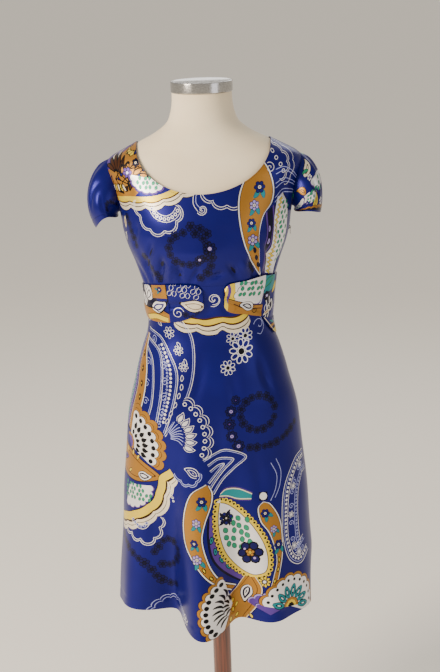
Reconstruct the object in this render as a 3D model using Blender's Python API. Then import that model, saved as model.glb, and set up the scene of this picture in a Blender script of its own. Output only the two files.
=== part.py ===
# A knee-length satin dress on a limbless dress form: scoop neck, puffed cap sleeves, a seam under the
# bust with soft gathers above it, a fluted A-line skirt, a folded sash and a side zip.
# Metres, +Z up, front towards -Y, so the wearer's left is +X. The base's underside is at z = 0.
# Angles run round the upright axis in degrees: 0 at +X, 90 at the front, 180 at -X, 270 at the back.

import math

import bmesh
import bpy
from mathutils import Matrix, Vector

# ---------------------------------------------------------------- driving dimensions
CLOTH = 0.0015            # satin wall
SEAM_GAP = 0.0003         # between two pieces that are sewn together

CAP_TOP = 1.460
CAP_HEIGHT = 0.020
CAP_RADIUS = 0.0575
POLE_RADIUS = 0.0185
BASE_RADIUS = 0.170
BASE_HEIGHT = 0.024

WAIST_FRONT = 1.095       # seam under the bust, at centre front
WAIST_SIDE = 1.070        # the same seam at the side seams and the back
UNDERARM = 1.222
SHOULDER_TIP = 1.322
NECK_POINT = 1.352        # where the shoulder seam meets the neckline
HEM = 0.416

NECK_SHIFT = -0.006        # the scoop hangs a little towards the wearer's right
FRONT_NECK_DROP = 0.085
BACK_NECK_DROP = 0.040
ARMHOLE_FRONT_ANGLE = 22.0
ARMHOLE_BACK_ANGLE = 20.0

# Rows that every bodice panel shares: the side seam, the armhole and the shoulder seam.
SIDE_ROWS = 5
ARMHOLE_ROWS = 10
SHOULDER_ROWS = 3
SIDE_GAP_ANGLE = 0.09      # half of a side or shoulder seam's gap

# The dress form's body, bottom to top.
FORM = (
    # height, half_width, front, back, fullness
    (0.722, 0.1300, 0.0800, 0.0920, 2.2),
    (0.735, 0.1455, 0.0920, 0.1050, 2.2),
    (0.770, 0.1510, 0.0970, 0.1110, 2.2),
    (0.830, 0.1540, 0.0990, 0.1150, 2.2),
    (0.890, 0.1430, 0.0960, 0.1090, 2.2),
    (0.940, 0.1280, 0.0900, 0.0960, 2.2),
    (0.990, 0.1130, 0.0840, 0.0830, 2.2),
    (1.030, 0.1095, 0.0830, 0.0780, 2.2),
    (1.070, 0.1130, 0.0890, 0.0800, 2.2),
    (1.110, 0.1240, 0.0990, 0.0870, 2.2),
    (1.150, 0.1385, 0.1140, 0.0950, 2.2),
    (1.190, 0.1490, 0.1210, 0.1010, 2.2),
    (1.225, 0.1540, 0.1150, 0.1040, 2.2),
    (1.255, 0.1625, 0.1050, 0.1040, 2.2),
    (1.285, 0.1715, 0.0940, 0.1000, 2.2),
    (1.305, 0.1740, 0.0860, 0.0950, 2.2),
    (1.318, 0.1720, 0.0810, 0.0905, 2.1),
    (1.328, 0.1626, 0.0770, 0.0865, 2.1),
    (1.340, 0.1403, 0.0730, 0.0825, 2.0),
    (1.352, 0.1180, 0.0700, 0.0785, 2.0),
    (1.362, 0.0975, 0.0670, 0.0750, 2.0),
    (1.374, 0.0790, 0.0630, 0.0700, 2.0),
    (1.386, 0.0665, 0.0600, 0.0650, 2.0),
    (1.402, 0.0600, 0.0570, 0.0600, 2.0),
    (1.420, 0.0565, 0.0555, 0.0570, 2.0),
    (1.4397, 0.0555, 0.0550, 0.0550, 2.0),
)

# The dress's outer face, bottom to top.
DRESS = (
    # height, half_width, front, back, fullness
    (0.370, 0.2010, 0.1500, 0.1610, 2.0),
    (0.497, 0.1960, 0.1420, 0.1530, 2.0),
    (0.585, 0.1890, 0.1350, 0.1470, 2.0),
    (0.671, 0.1835, 0.1280, 0.1410, 2.05),
    (0.756, 0.1740, 0.1210, 0.1350, 2.1),
    (0.823, 0.1670, 0.1160, 0.1290, 2.15),
    (0.856, 0.1600, 0.1130, 0.1250, 2.2),
    (0.889, 0.1510, 0.1090, 0.1180, 2.2),
    (0.921, 0.1430, 0.1050, 0.1100, 2.2),
    (0.955, 0.1330, 0.0995, 0.1000, 2.2),
    (0.985, 0.1225, 0.0950, 0.0920, 2.2),
    (1.005, 0.1190, 0.0935, 0.0890, 2.2),
    (1.040, 0.1180, 0.0945, 0.0870, 2.2),
    (1.070, 0.1215, 0.0990, 0.0895, 2.2),
    (1.098, 0.1290, 0.1070, 0.0940, 2.2),
    (1.130, 0.1390, 0.1190, 0.0990, 2.2),
    (1.160, 0.1500, 0.1280, 0.1050, 2.2),
    (1.190, 0.1575, 0.1300, 0.1090, 2.2),
    (1.207, 0.1595, 0.1280, 0.1110, 2.2),
    (1.225, 0.1625, 0.1240, 0.1120, 2.2),
    (1.255, 0.1710, 0.1140, 0.1120, 2.2),
    (1.285, 0.1800, 0.1020, 0.1080, 2.2),
    (1.305, 0.1835, 0.0945, 0.1030, 2.2),
    (1.318, 0.1810, 0.0895, 0.0990, 2.1),
    (1.328, 0.1700, 0.0855, 0.0955, 2.1),
    (1.340, 0.1475, 0.0810, 0.0910, 2.0),
    (1.352, 0.1245, 0.0775, 0.0870, 2.0),
    (1.362, 0.1070, 0.0745, 0.0840, 2.0),
)

# Soft gathers let into the seam under the bust: troughs that fan out and fade upwards.
GATHERS = (
    # seam_angle, top_angle, reach, depth, width
    (30.0, 17.0, 0.085, 0.0042, 4.0),
    (39.0, 33.0, 0.120, 0.0060, 4.2),
    (49.0, 52.0, 0.075, 0.0044, 4.2),
    (131.0, 127.0, 0.065, 0.0036, 4.2),
    (142.0, 144.0, 0.095, 0.0060, 4.2),
    (152.0, 161.0, 0.075, 0.0042, 4.0),
    (224.0, 226.0, 0.060, 0.0022, 5.0),
    (316.0, 314.0, 0.060, 0.0022, 5.0),
)

# Flutes of the skirt: each grows from its start height down to the hem.
FLUTES = (
    # angle, depth, width, start_height
    (2.0, -0.006, 22.0, 0.880),
    (6.0, -0.022, 11.0, 0.540),
    (36.0, 0.008, 13.0, 0.740),
    (59.0, 0.016, 11.0, 0.800),
    (78.0, -0.036, 11.0, 0.780),
    (99.0, 0.044, 12.0, 0.900),
    (123.0, -0.052, 13.0, 0.860),
    (150.0, 0.014, 14.0, 0.760),
    (176.0, 0.006, 12.0, 0.640),
    (203.0, -0.022, 12.0, 0.780),
    (226.0, 0.026, 12.0, 0.840),
    (250.0, -0.028, 12.0, 0.800),
    (273.0, 0.030, 12.0, 0.860),
    (297.0, -0.026, 12.0, 0.800),
    (320.0, 0.024, 12.0, 0.820),
    (343.0, -0.016, 11.0, 0.700),
)

# The hem rises a little over the flutes' hollows and at the sides.
HEM_RISES = (
    # angle, rise
    (0.0, 0.008),
    (30.0, 0.014),
    (60.0, 0.009),
    (80.0, 0.008),
    (99.0, -0.003),
    (124.0, 0.016),
    (150.0, 0.023),
    (180.0, 0.016),
    (250.0, 0.010),
    (290.0, 0.010),
    (360.0, 0.008),
)

# Puffed cap sleeves, one row for each side of the wearer.
SLEEVES = (
    # name, side, hem_reach, hem_height, puff_out, puff_up
    ("sleeve_left", 1.0, 0.2165, 1.2090, 0.009, 0.044),
    ("sleeve_right", -1.0, 0.2095, 1.1925, 0.028, 0.049),
)
SLEEVE_HEM_HALF_DEPTH = 0.056
SLEEVE_INNER_HEM = (0.1660, 1.2125)     # x and height of the hem under the arm
SLEEVE_SIDE_HEM_HEIGHT = 1.2190         # the hem at its front and back
SLEEVE_GATHERS = 9
SLEEVE_GATHER_DEPTH = 0.0030

# The zip's slider lies on the side seam under the wearer's left arm.
SLIDER_HEIGHT = 1.180
PULL_LENGTH = 0.0130

COLOURS = {
    "satin_blue": (0.035, 0.055, 0.420),
    "satin_print": (0.300, 0.230, 0.180),
    "form_cover": (0.780, 0.720, 0.610),
    "chrome": (0.620, 0.620, 0.630),
    "mahogany": (0.110, 0.030, 0.018),
    "zip_metal": (0.050, 0.048, 0.046),
}


# ---------------------------------------------------------------- helpers
def clear_scene():
    for item in list(bpy.data.objects):
        bpy.data.objects.remove(item, do_unlink=True)


def material(name, colour, roughness, metallic=0.0):
    made = bpy.data.materials.new(name)
    made.use_nodes = True
    shader = made.node_tree.nodes["Principled BSDF"]
    shader.inputs["Base Color"].default_value = (*COLOURS[colour], 1.0)
    shader.inputs["Roughness"].default_value = roughness
    shader.inputs["Metallic"].default_value = metallic
    return made


def add_object(name, shape, made_material):
    mesh = bpy.data.meshes.new(name)
    shape.to_mesh(mesh)
    shape.free()
    mesh.materials.append(made_material)
    mesh.shade_smooth()
    mesh.set_sharp_from_angle(angle=math.radians(40))
    made = bpy.data.objects.new(name, mesh)
    bpy.context.scene.collection.objects.link(made)
    return made


def smooth_step(value):
    held = min(1.0, max(0.0, value))
    return held * held * (3.0 - 2.0 * held)


def table_value(table, column, at):
    """A column of a table between its rows, by a cubic with the slopes of its neighbours."""
    last = len(table) - 1
    row = 0
    while row < last - 1 and table[row + 1][0] < at:
        row += 1
    low, high = table[row], table[row + 1]
    before, after = table[max(row - 1, 0)], table[min(row + 2, last)]
    span = high[0] - low[0]
    share = min(1.0, max(0.0, (at - low[0]) / span))
    low_slope = (high[column] - before[column]) / (high[0] - before[0])
    high_slope = (after[column] - low[column]) / (after[0] - low[0])
    square, cube = share * share, share * share * share
    return ((2 * cube - 3 * square + 1) * low[column]
            + (cube - 2 * square + share) * span * low_slope
            + (3 * square - 2 * cube) * high[column]
            + (cube - square) * span * high_slope)


def section_point(table, angle, height):
    """A point on the level section at this height: an oval with its own front and back depth."""
    half_width, front, back, fullness = (table_value(table, column, height) for column in (1, 2, 3, 4))
    across, along = math.cos(math.radians(angle)), math.sin(math.radians(angle))
    swell = (abs(across) ** fullness + abs(along) ** fullness) ** (-1.0 / fullness)
    depth = front if along > 0.0 else back
    return Vector((half_width * swell * across, -depth * swell * along, height))


def outward(surface, u, v, u_step, v_step):
    """The unit normal of a surface whose u turns with the angle and whose v goes up, or out."""
    along_u = surface(u + u_step, v) - surface(u - u_step, v)
    along_v = surface(u, v + v_step) - surface(u, v - v_step)
    return along_v.cross(along_u).normalized()


def draped(place, face):
    """A piece that lies at place(u, v), an (angle, height), on face(angle, height).

    Gives each point with its normal, which follows the face and not the cut of the piece.
    """
    def point_and_normal(u, v):
        angle, height = place(u, v)
        return face(angle, height), outward(face, angle, height, 0.4, 0.0012)
    return point_and_normal


def shaped(surface):
    """A piece whose surface(u, v) gives points directly."""
    def point_and_normal(u, v):
        return surface(u, v), outward(surface, u, v, 0.002, 0.002)
    return point_and_normal


def dress_point(angle, height, lift=0.0):
    """A point on the dress's outer face, or lifted off it along the level normal."""
    point = section_point(DRESS, angle, height)
    if lift:
        point = point + level_normal(angle, height) * lift
    return point


def level_normal(angle, height):
    tangent = section_point(DRESS, angle + 0.5, height) - section_point(DRESS, angle - 0.5, height)
    return Vector((-tangent.y, tangent.x, 0.0)).normalized()


def waist_seam(angle):
    """The seam under the bust rises at centre front."""
    front = max(0.0, math.sin(math.radians(angle)))
    return WAIST_SIDE + (WAIST_FRONT - WAIST_SIDE) * smooth_step(front)


def wall(name, surface, columns, rows, made_material, ring=False, thickness=CLOTH):
    """A cloth wall: the surface's grid, the same grid moved in by its thickness, and its rim.

    surface(u, v) gives a point and a normal. columns and rows are the u and v values of the grid.
    A ring closes on itself in u.
    """
    shape = bmesh.new()
    outer, inner = [], []
    for v in rows:
        spots = [surface(u, v) for u in columns]
        outer.append([shape.verts.new(point) for point, _ in spots])
        inner.append([shape.verts.new(point - normal * thickness) for point, normal in spots])
    count = len(columns)
    strips = count if ring else count - 1
    for row in range(len(rows) - 1):
        for column in range(strips):
            beside = (column + 1) % count
            shape.faces.new((outer[row][beside], outer[row][column],
                             outer[row + 1][column], outer[row + 1][beside]))
            shape.faces.new((inner[row][column], inner[row][beside],
                             inner[row + 1][beside], inner[row + 1][column]))
    for column in range(strips):
        beside = (column + 1) % count
        shape.faces.new((outer[0][column], outer[0][beside], inner[0][beside], inner[0][column]))
        shape.faces.new((outer[-1][beside], outer[-1][column], inner[-1][column], inner[-1][beside]))
    if not ring:
        for row in range(len(rows) - 1):
            shape.faces.new((outer[row + 1][0], outer[row][0], inner[row][0], inner[row + 1][0]))
            shape.faces.new((outer[row][-1], outer[row + 1][-1], inner[row + 1][-1], inner[row][-1]))
    return add_object(name, shape, made_material)


def steps(low, high, count):
    return [low + (high - low) * index / count for index in range(count + 1)]


def turned(name, profile, sides, made_material):
    """A solid of revolution from (radius, height) pairs that start and end on the axis."""
    shape = bmesh.new()
    rings = []
    for radius, height in profile[1:-1]:
        ring = []
        for index in range(sides):
            turn = 2.0 * math.pi * index / sides
            ring.append(shape.verts.new((radius * math.cos(turn), radius * math.sin(turn), height)))
        rings.append(ring)
    bottom = shape.verts.new((0.0, 0.0, profile[0][1]))
    top = shape.verts.new((0.0, 0.0, profile[-1][1]))
    for index in range(sides):
        beside = (index + 1) % sides
        shape.faces.new((bottom, rings[0][beside], rings[0][index]))
        shape.faces.new((top, rings[-1][index], rings[-1][beside]))
        for low, high in zip(rings, rings[1:]):
            shape.faces.new((low[index], low[beside], high[beside], high[index]))
    return add_object(name, shape, made_material)


# ---------------------------------------------------------------- dress form and stand
def rounded_edge(radius, height, bevel, up, count=3):
    """(radius, height) pairs round one edge of a turned disc."""
    pairs = []
    for index in range(count + 1):
        turn = math.radians(90.0) * index / count
        pairs.append((radius - bevel * (1.0 - math.cos(turn)), height + up * bevel * math.sin(turn)))
    return pairs


def build_form_body():
    """The padded, covered torso: one smooth lofted solid, flat at its neck and underside."""
    shape = bmesh.new()
    sides = 36
    heights = [row[0] for row in FORM]
    rings = []
    for height in heights:
        points = [section_point(FORM, 360.0 * index / sides, height) for index in range(sides)]
        rings.append([shape.verts.new(point) for point in points])
    for low, high in zip(rings, rings[1:]):
        for index in range(sides):
            beside = (index + 1) % sides
            shape.faces.new((low[index], low[beside], high[beside], high[index]))
    shape.faces.new(rings[0])
    shape.faces.new(rings[-1])
    bmesh.ops.recalc_face_normals(shape, faces=shape.faces)
    return add_object("form_body", shape, material("form_cover", "form_cover", 0.85))


def build_neck_cap():
    low = CAP_TOP - CAP_HEIGHT
    edge = 0.0016
    profile = [(0.0, low), (CAP_RADIUS - edge, low), (CAP_RADIUS, low + edge)]
    profile += rounded_edge(CAP_RADIUS, CAP_TOP - edge, edge, 1.0)
    profile += [(0.0, CAP_TOP)]
    return turned("neck_cap", profile, 48, material("neck_cap", "chrome", 0.15, 1.0))


def build_stand():
    wood = material("stand_wood", "mahogany", 0.30)
    top = FORM[0][0] - SEAM_GAP
    foot = BASE_HEIGHT + SEAM_GAP
    pole = [(0.0, foot), (POLE_RADIUS, foot), (POLE_RADIUS, top), (0.0, top)]
    turned("stand_pole", pole, 32, wood)
    edge = 0.008
    base = [(0.0, 0.0), (BASE_RADIUS - 0.002, 0.0), (BASE_RADIUS, 0.002)]
    base += rounded_edge(BASE_RADIUS, BASE_HEIGHT - edge, edge, 1.0, 4)
    base += [(0.0, BASE_HEIGHT)]
    turned("stand_base", base, 48, wood.copy())


# ---------------------------------------------------------------- bodice
def angle_at(x, height):
    """The front angle, 0 to 180, at which the dress's section has this x."""
    low, high = 0.0, 180.0
    for _ in range(40):
        middle = 0.5 * (low + high)
        if section_point(DRESS, middle, height).x > x:
            low = middle
        else:
            high = middle
    return 0.5 * (low + high)


def neck_edge(u, drop):
    """The neckline as (angle, height), half an ellipse seen from the front."""
    swing = math.pi * min(1.0, max(0.0, u))
    height = NECK_POINT - drop * math.sin(swing)
    half_width = table_value(DRESS, 1, NECK_POINT)
    x = half_width * math.cos(swing) + NECK_SHIFT * math.sin(swing)
    return angle_at(x, height), height


def side_edge(v, armhole_angle):
    """Side seam, armhole and shoulder seam as (angle off the side, height) from bottom to top."""
    total = SIDE_ROWS + ARMHOLE_ROWS + SHOULDER_ROWS
    row = min(1.0, max(0.0, v)) * total
    if row <= SIDE_ROWS:
        return 0.0, WAIST_SIDE + (UNDERARM - WAIST_SIDE) * row / SIDE_ROWS
    if row <= SIDE_ROWS + ARMHOLE_ROWS:
        share = (row - SIDE_ROWS) / ARMHOLE_ROWS
        return armhole_at(share, armhole_angle)
    share = (row - SIDE_ROWS - ARMHOLE_ROWS) / SHOULDER_ROWS
    return 0.0, SHOULDER_TIP + (NECK_POINT - SHOULDER_TIP) * share


def armhole_at(share, armhole_angle):
    """The armhole as (angle, height): round at the underarm, steeper towards the shoulder tip."""
    swing = math.pi * share
    return (armhole_angle * math.sin(swing) ** (0.75 + 0.60 * share),
            UNDERARM + (SHOULDER_TIP - UNDERARM) * 0.5 * (1.0 - math.cos(swing)))


def bodice_place(u, v, drop, armhole_angle, bottom_height):
    """A bodice panel's (angle, height) at u across and v up, blended from its four edges."""
    off_side, side_height = side_edge(v, armhole_angle)
    top_angle, top_height = neck_edge(u, drop)
    bottom_angle = 180.0 * u
    to_side = 1.0 - 2.0 * u
    side_bend = side_height - ((1.0 - v) * WAIST_SIDE + v * NECK_POINT)
    angle = (1.0 - v) * bottom_angle + v * top_angle + off_side * to_side * abs(to_side)
    height = (1.0 - v) * bottom_height + v * top_height + side_bend * to_side * to_side
    return angle, height


def gather_depth(angle, height):
    """How far the gathers draw the cloth in at a place on the bodice."""
    above = height - waist_seam(angle)
    depth = 0.0
    for seam_angle, top_angle, reach, deepest, width in GATHERS:
        share = above / reach
        if 0.0 <= share < 1.0:
            middle = seam_angle + (top_angle - seam_angle) * share
            strength = smooth_step(share / 0.28) * smooth_step((1.0 - share) / 0.75)
            depth += deepest * strength * math.exp(-((angle - middle) / width) ** 2)
    return depth


def bodice_face(angle, height):
    return dress_point(angle, height, -gather_depth(angle, height))


def inside_seams(angle):
    """An angle from 0 to 180 drawn in from both side seams by half their gap."""
    return SIDE_GAP_ANGLE + angle * (1.0 - 2.0 * SIDE_GAP_ANGLE / 180.0)


def front_place(u, v):
    seam = waist_seam(180.0 * u)
    angle, height = bodice_place(u, v, FRONT_NECK_DROP, ARMHOLE_FRONT_ANGLE, seam)
    return inside_seams(angle), height + 0.5 * SEAM_GAP * (1.0 - v)


def back_place(u, v):
    angle, height = bodice_place(1.0 - u, v, BACK_NECK_DROP, ARMHOLE_BACK_ANGLE, WAIST_SIDE)
    return 360.0 - inside_seams(angle), height + 0.5 * SEAM_GAP * (1.0 - v)


def gathered_columns():
    """Columns across the front, closer where the gathers are."""
    marks = ((0.0, 0), (20.0, 4), (58.0, 11), (122.0, 10), (160.0, 11), (180.0, 4))
    columns = [0.0]
    for (low, _), (high, count) in zip(marks, marks[1:]):
        columns += [value / 180.0 for value in steps(low, high, count)[1:]]
    return columns


def build_bodice():
    satin = material("bodice_satin", "satin_blue", 0.30)
    rows = steps(0.0, 1.0, SIDE_ROWS + ARMHOLE_ROWS + SHOULDER_ROWS)
    wall("bodice_front", draped(front_place, bodice_face), gathered_columns(), rows, satin)
    wall("bodice_back", draped(back_place, bodice_face), steps(0.0, 1.0, 24), rows, satin.copy())


# ---------------------------------------------------------------- sleeves
def armhole_point(turn, side):
    """A point of the armhole seam, with turn 0 at the underarm, 0.25 in front and 0.5 at the tip."""
    if turn <= 0.5:
        angle, height = armhole_at(turn / 0.5, ARMHOLE_FRONT_ANGLE)
    else:
        angle, height = armhole_at((1.0 - turn) / 0.5, -ARMHOLE_BACK_ANGLE)
    point = dress_point(angle, height)
    middle = dress_point(0.0, 0.5 * (UNDERARM + SHOULDER_TIP))
    inwards = (middle - point).normalized()
    point = point + inwards * SEAM_GAP * 1.6 + Vector((0.0004, 0.0, 0.0))
    return Vector((side * point.x, point.y, point.z))


def sleeve_surface(side, hem_reach, hem_height, puff_out, puff_up):
    """A sleeve as curves from the armhole over a puff to the hem ring."""
    inner_hem_x, inner_hem_height = SLEEVE_INNER_HEM
    mean_height = 0.5 * (inner_hem_height + hem_height)
    level = 0.5 * (mean_height + SLEEVE_SIDE_HEM_HEIGHT)
    side_rise = 0.5 * (mean_height - SLEEVE_SIDE_HEM_HEIGHT)

    def surface(turn, along):
        turn = turn % 1.0
        swing = 2.0 * math.pi * turn
        upper = 0.5 * (1.0 - math.cos(swing))
        sideways = math.sin(swing)
        start = armhole_point(turn, side)
        end = Vector((side * (inner_hem_x + (hem_reach - inner_hem_x) * upper),
                      -SLEEVE_HEM_HALF_DEPTH * sideways,
                      level + 0.5 * (inner_hem_height - hem_height) * math.cos(swing)
                      + side_rise * math.cos(2.0 * swing)))
        leave = Vector((side * (0.0045 + 0.0290 * upper), -0.015 * sideways, -0.0005 - 0.0150 * upper))
        arrive = Vector((side * (0.0015 + puff_out * upper), -0.006 * sideways, 0.0035 + puff_up * upper))
        near, far = start + leave, end + arrive
        back = 1.0 - along
        point = (start * back ** 3 + near * 3 * back ** 2 * along
                 + far * 3 * back * along ** 2 + end * along ** 3)
        wave = 0.5 - 0.5 * math.cos(2.0 * math.pi * SLEEVE_GATHERS * turn)
        fade = smooth_step(along / 0.20) * smooth_step((1.0 - along) / 0.8) * upper ** 1.5
        middle = Vector((side * 0.165, 0.0, 1.262))
        lift = (point - middle).normalized() * SLEEVE_GATHER_DEPTH * wave * fade
        return point + lift
    return surface


def build_sleeves():
    satin = material("sleeve_satin", "satin_blue", 0.30)
    columns = 4 * ARMHOLE_ROWS
    turns = [index / columns for index in range(columns)]
    for name, side, hem_reach, hem_height, puff_out, puff_up in SLEEVES:
        shape = sleeve_surface(side, hem_reach, hem_height, puff_out, puff_up)

        def facing_out(u, v, shape=shape, side=side):
            return shape(u, v) if side > 0 else shape(-u, v)
        wall(name, shaped(facing_out), turns, steps(0.0, 1.0, 6), satin.copy(), ring=True)


# ---------------------------------------------------------------- skirt
def flute_depth(angle, height):
    depth = 0.0
    for middle, deepest, width, start in FLUTES:
        away = (angle - middle + 180.0) % 360.0 - 180.0
        if height < start:
            grown = (start - height) / (start - HEM)
            depth += deepest * grown ** 1.5 * math.exp(-(away / width) ** 2)
    return depth


def skirt_face(angle, height):
    return dress_point(angle, height, flute_depth(angle, height))


def skirt_place(first_angle):
    """Half the skirt, from one side seam to the other and from the hem up to the waist seam."""
    def place(u, v):
        angle = first_angle + inside_seams(180.0 * u)
        top = waist_seam(angle) - 0.5 * SEAM_GAP
        bottom = HEM + table_value(HEM_RISES, 1, angle)
        return angle, bottom + (top - bottom) * v
    return place


def build_skirt():
    satin = material("skirt_satin", "satin_blue", 0.30)
    rows = [1.0 - (1.0 - value) ** 1.45 for value in steps(0.0, 1.0, 13)]
    wall("skirt_front", draped(skirt_place(0.0), skirt_face), steps(0.0, 1.0, 40), rows, satin)
    wall("skirt_back", draped(skirt_place(180.0), skirt_face), steps(0.0, 1.0, 32), rows, satin.copy())


# ---------------------------------------------------------------- sash
BELT_BASE = CLOTH + 0.0011      # lift of the sash's outer face at its edges
BELT_PUFF = 0.0052              # further lift along its middle
TAIL_LIFT = CLOTH + 0.0025      # the tail stands off the skirt where it flares
TAIL_TIP = 0.9835               # height of its tip


def sash_surface(table, first_angle, last_angle, shape_lift):
    """A piece of the sash over the dress: its edges from a table, its lift from a function."""
    def surface(u, v):
        held_u, held_v = min(1.0, max(0.0, u)), min(1.0, max(0.0, v))
        angle = first_angle + (last_angle - first_angle) * u
        bottom, top = table_value(table, 1, angle), table_value(table, 2, angle)
        height = bottom + (top - bottom) * v
        return dress_point(angle, height, BELT_BASE + shape_lift(held_u, held_v))
    return surface


def puffed(v):
    return BELT_PUFF * (1.0 - abs(2.0 * v - 1.0) ** 2.6)


def trough(value, middle, width):
    return math.exp(-((value - middle) / width) ** 2)


WING = (
    # angle, bottom, top
    (95.0, 1.0520, 1.0870),
    (99.0, 1.0430, 1.0960),
    (110.0, 1.0300, 1.0985),
    (122.0, 1.0230, 1.0975),
    (140.0, 1.0190, 1.0930),
    (160.0, 1.0180, 1.0870),
    (180.0, 1.0180, 1.0810),
)
LOOP = (
    # angle, bottom, top
    (38.5, 1.0230, 1.1050),
    (48.0, 1.0280, 1.1040),
    (58.0, 1.0340, 1.1010),
    (68.0, 1.0380, 1.0990),
    (74.0, 1.0440, 1.0960),
    (77.0, 1.0530, 1.0870),
)
KNOT = (
    # angle, bottom, top
    (0.3, 1.0100, 1.0940),
    (12.0, 1.0120, 1.0960),
    (26.0, 1.0160, 1.1000),
    (38.2, 1.0215, 1.1035),
)
BACK_BAND = (
    # angle, bottom, top
    (180.6, 1.0180, 1.0810),
    (215.0, 1.0180, 1.0760),
    (325.0, 1.0150, 1.0760),
    (359.9, 1.0120, 1.0880),
)


def wing_lift(u, v):
    """Puffed band with a pinch and a crease that runs from it to the rounded end."""
    pinch = trough(u, 0.56, 0.07)
    crease = trough(v, 0.46 - 0.10 * u, 0.11) * smooth_step((0.60 - u) / 0.25) * smooth_step(u / 0.2)
    second = trough(v, 0.56, 0.12) * smooth_step((u - 0.58) / 0.2)
    return puffed(v) * (1.0 - 0.55 * pinch) * (1.0 - 0.75 * crease) * (1.0 - 0.5 * second)


def loop_lift(u, v):
    """A loop with a fold that runs low from its left end: the lip under it lies flatter."""
    fold = trough(v, 0.10 + 0.42 * u, 0.10)
    return puffed(v) * (1.25 - 0.85 * fold) * (0.75 + 0.25 * smooth_step(u / 0.15))


def knot_lift(u, v):
    ridge = 0.5 + 0.5 * math.sin(math.pi * u)
    return puffed(v) * ridge + 0.0012 * math.sin(math.pi * u)


def back_lift(u, v):
    return 0.35 * puffed(v)


def tail_surface(u, v):
    """The sash's short tapered end, hanging below the knot towards the side seam."""
    middle = 11.0 + 9.0 * v
    half = 2.5 + 14.0 * v ** 0.8 if v > 0.0 else 2.5
    angle = middle + half * (2.0 * u - 1.0)
    held_u, held_v = min(1.0, max(0.0, u)), min(1.0, max(0.0, v))
    top_height = table_value(KNOT, 1, angle) - 2.0 * SEAM_GAP
    rounding = 0.004 * (1.0 - held_v) * (2.0 * held_u - 1.0) ** 2
    height = TAIL_TIP + (top_height - TAIL_TIP) * v - rounding
    lift = TAIL_LIFT + 0.0016 * math.sin(math.pi * held_u) * (0.4 + 0.6 * held_v)
    return dress_point(angle, height, lift)


def build_sash():
    satin = material("sash_satin", "satin_print", 0.35)
    wing = sash_surface(WING, WING[0][0], WING[-1][0], wing_lift)
    wall("belt_wing_right", shaped(wing), steps(0.0, 1.0, 24), steps(0.0, 1.0, 9), satin)
    loop = sash_surface(LOOP, LOOP[0][0], LOOP[-1][0], loop_lift)
    wall("belt_loop_left", shaped(loop), steps(0.0, 1.0, 13), steps(0.0, 1.0, 9), satin.copy())
    knot = sash_surface(KNOT, KNOT[0][0], KNOT[-1][0], knot_lift)
    wall("belt_knot", shaped(knot), steps(0.0, 1.0, 8), steps(0.0, 1.0, 9), satin.copy())
    band = sash_surface(BACK_BAND, BACK_BAND[0][0], BACK_BAND[-1][0], back_lift)
    wall("belt_back", shaped(band), steps(0.0, 1.0, 32), steps(0.0, 1.0, 5), satin.copy())
    wall("belt_tail", shaped(tail_surface), steps(0.0, 1.0, 6), steps(0.0, 1.0, 6), satin.copy())


# ---------------------------------------------------------------- zip
SLIDER_HALF_WIDTH = 0.0023
SLIDER_HALF_LENGTH = 0.0042
SLIDER_THICKNESS = 0.0016       # from the cloth to its face
BRIDGE_HALF_WIDTH = 0.0007
BRIDGE_PROFILE = (
    # out, up: the arch over the pin, its outer line down and its inner line back
    (0.0012, 0.0030),
    (0.0042, 0.0024),
    (0.0042, -0.0018),
    (0.0012, -0.0026),
    (0.0012, -0.0017),
    (0.0035, -0.0012),
    (0.0035, 0.0017),
    (0.0012, 0.0021),
)
PULL_HALF_WIDTH = 0.0018
PULL_HALF_THICKNESS = 0.0004
PULL_TIP_HALF_WIDTH = 0.0008
PULL_TAPER_START = -0.0060
WINDOW_HALF_WIDTH = 0.0011
WINDOW_END = -0.0036
PIN_RADIUS = 0.0005
PIN_OUT = 0.0027                # pin's centre off the cloth
PIN_UP = 0.0002
PULL_TOP = -0.00035             # the tab starts just under the pin's centre


def box(shape, low, high):
    """Adds a box between two corners to a bmesh and returns its vertices."""
    centre = [(a + b) * 0.5 for a, b in zip(low, high)]
    size = [b - a for a, b in zip(low, high)]
    place = Matrix.Translation(centre) @ Matrix.Diagonal((*size, 1.0))
    return bmesh.ops.create_cube(shape, size=1.0, matrix=place)["verts"]


def slider_frame():
    """The slider's place on the side seam: out along the cloth's slope, y level, z up the seam."""
    low = dress_point(0.0, SLIDER_HEIGHT - 0.004)
    high = dress_point(0.0, SLIDER_HEIGHT + 0.004)
    upward = (high - low).normalized()
    level = Vector((0.0, 1.0, 0.0))
    out = level.cross(upward).normalized()
    turn = Matrix((out, level, upward)).transposed().to_4x4()
    return Matrix.Translation(dress_point(0.0, SLIDER_HEIGHT)) @ turn


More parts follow.
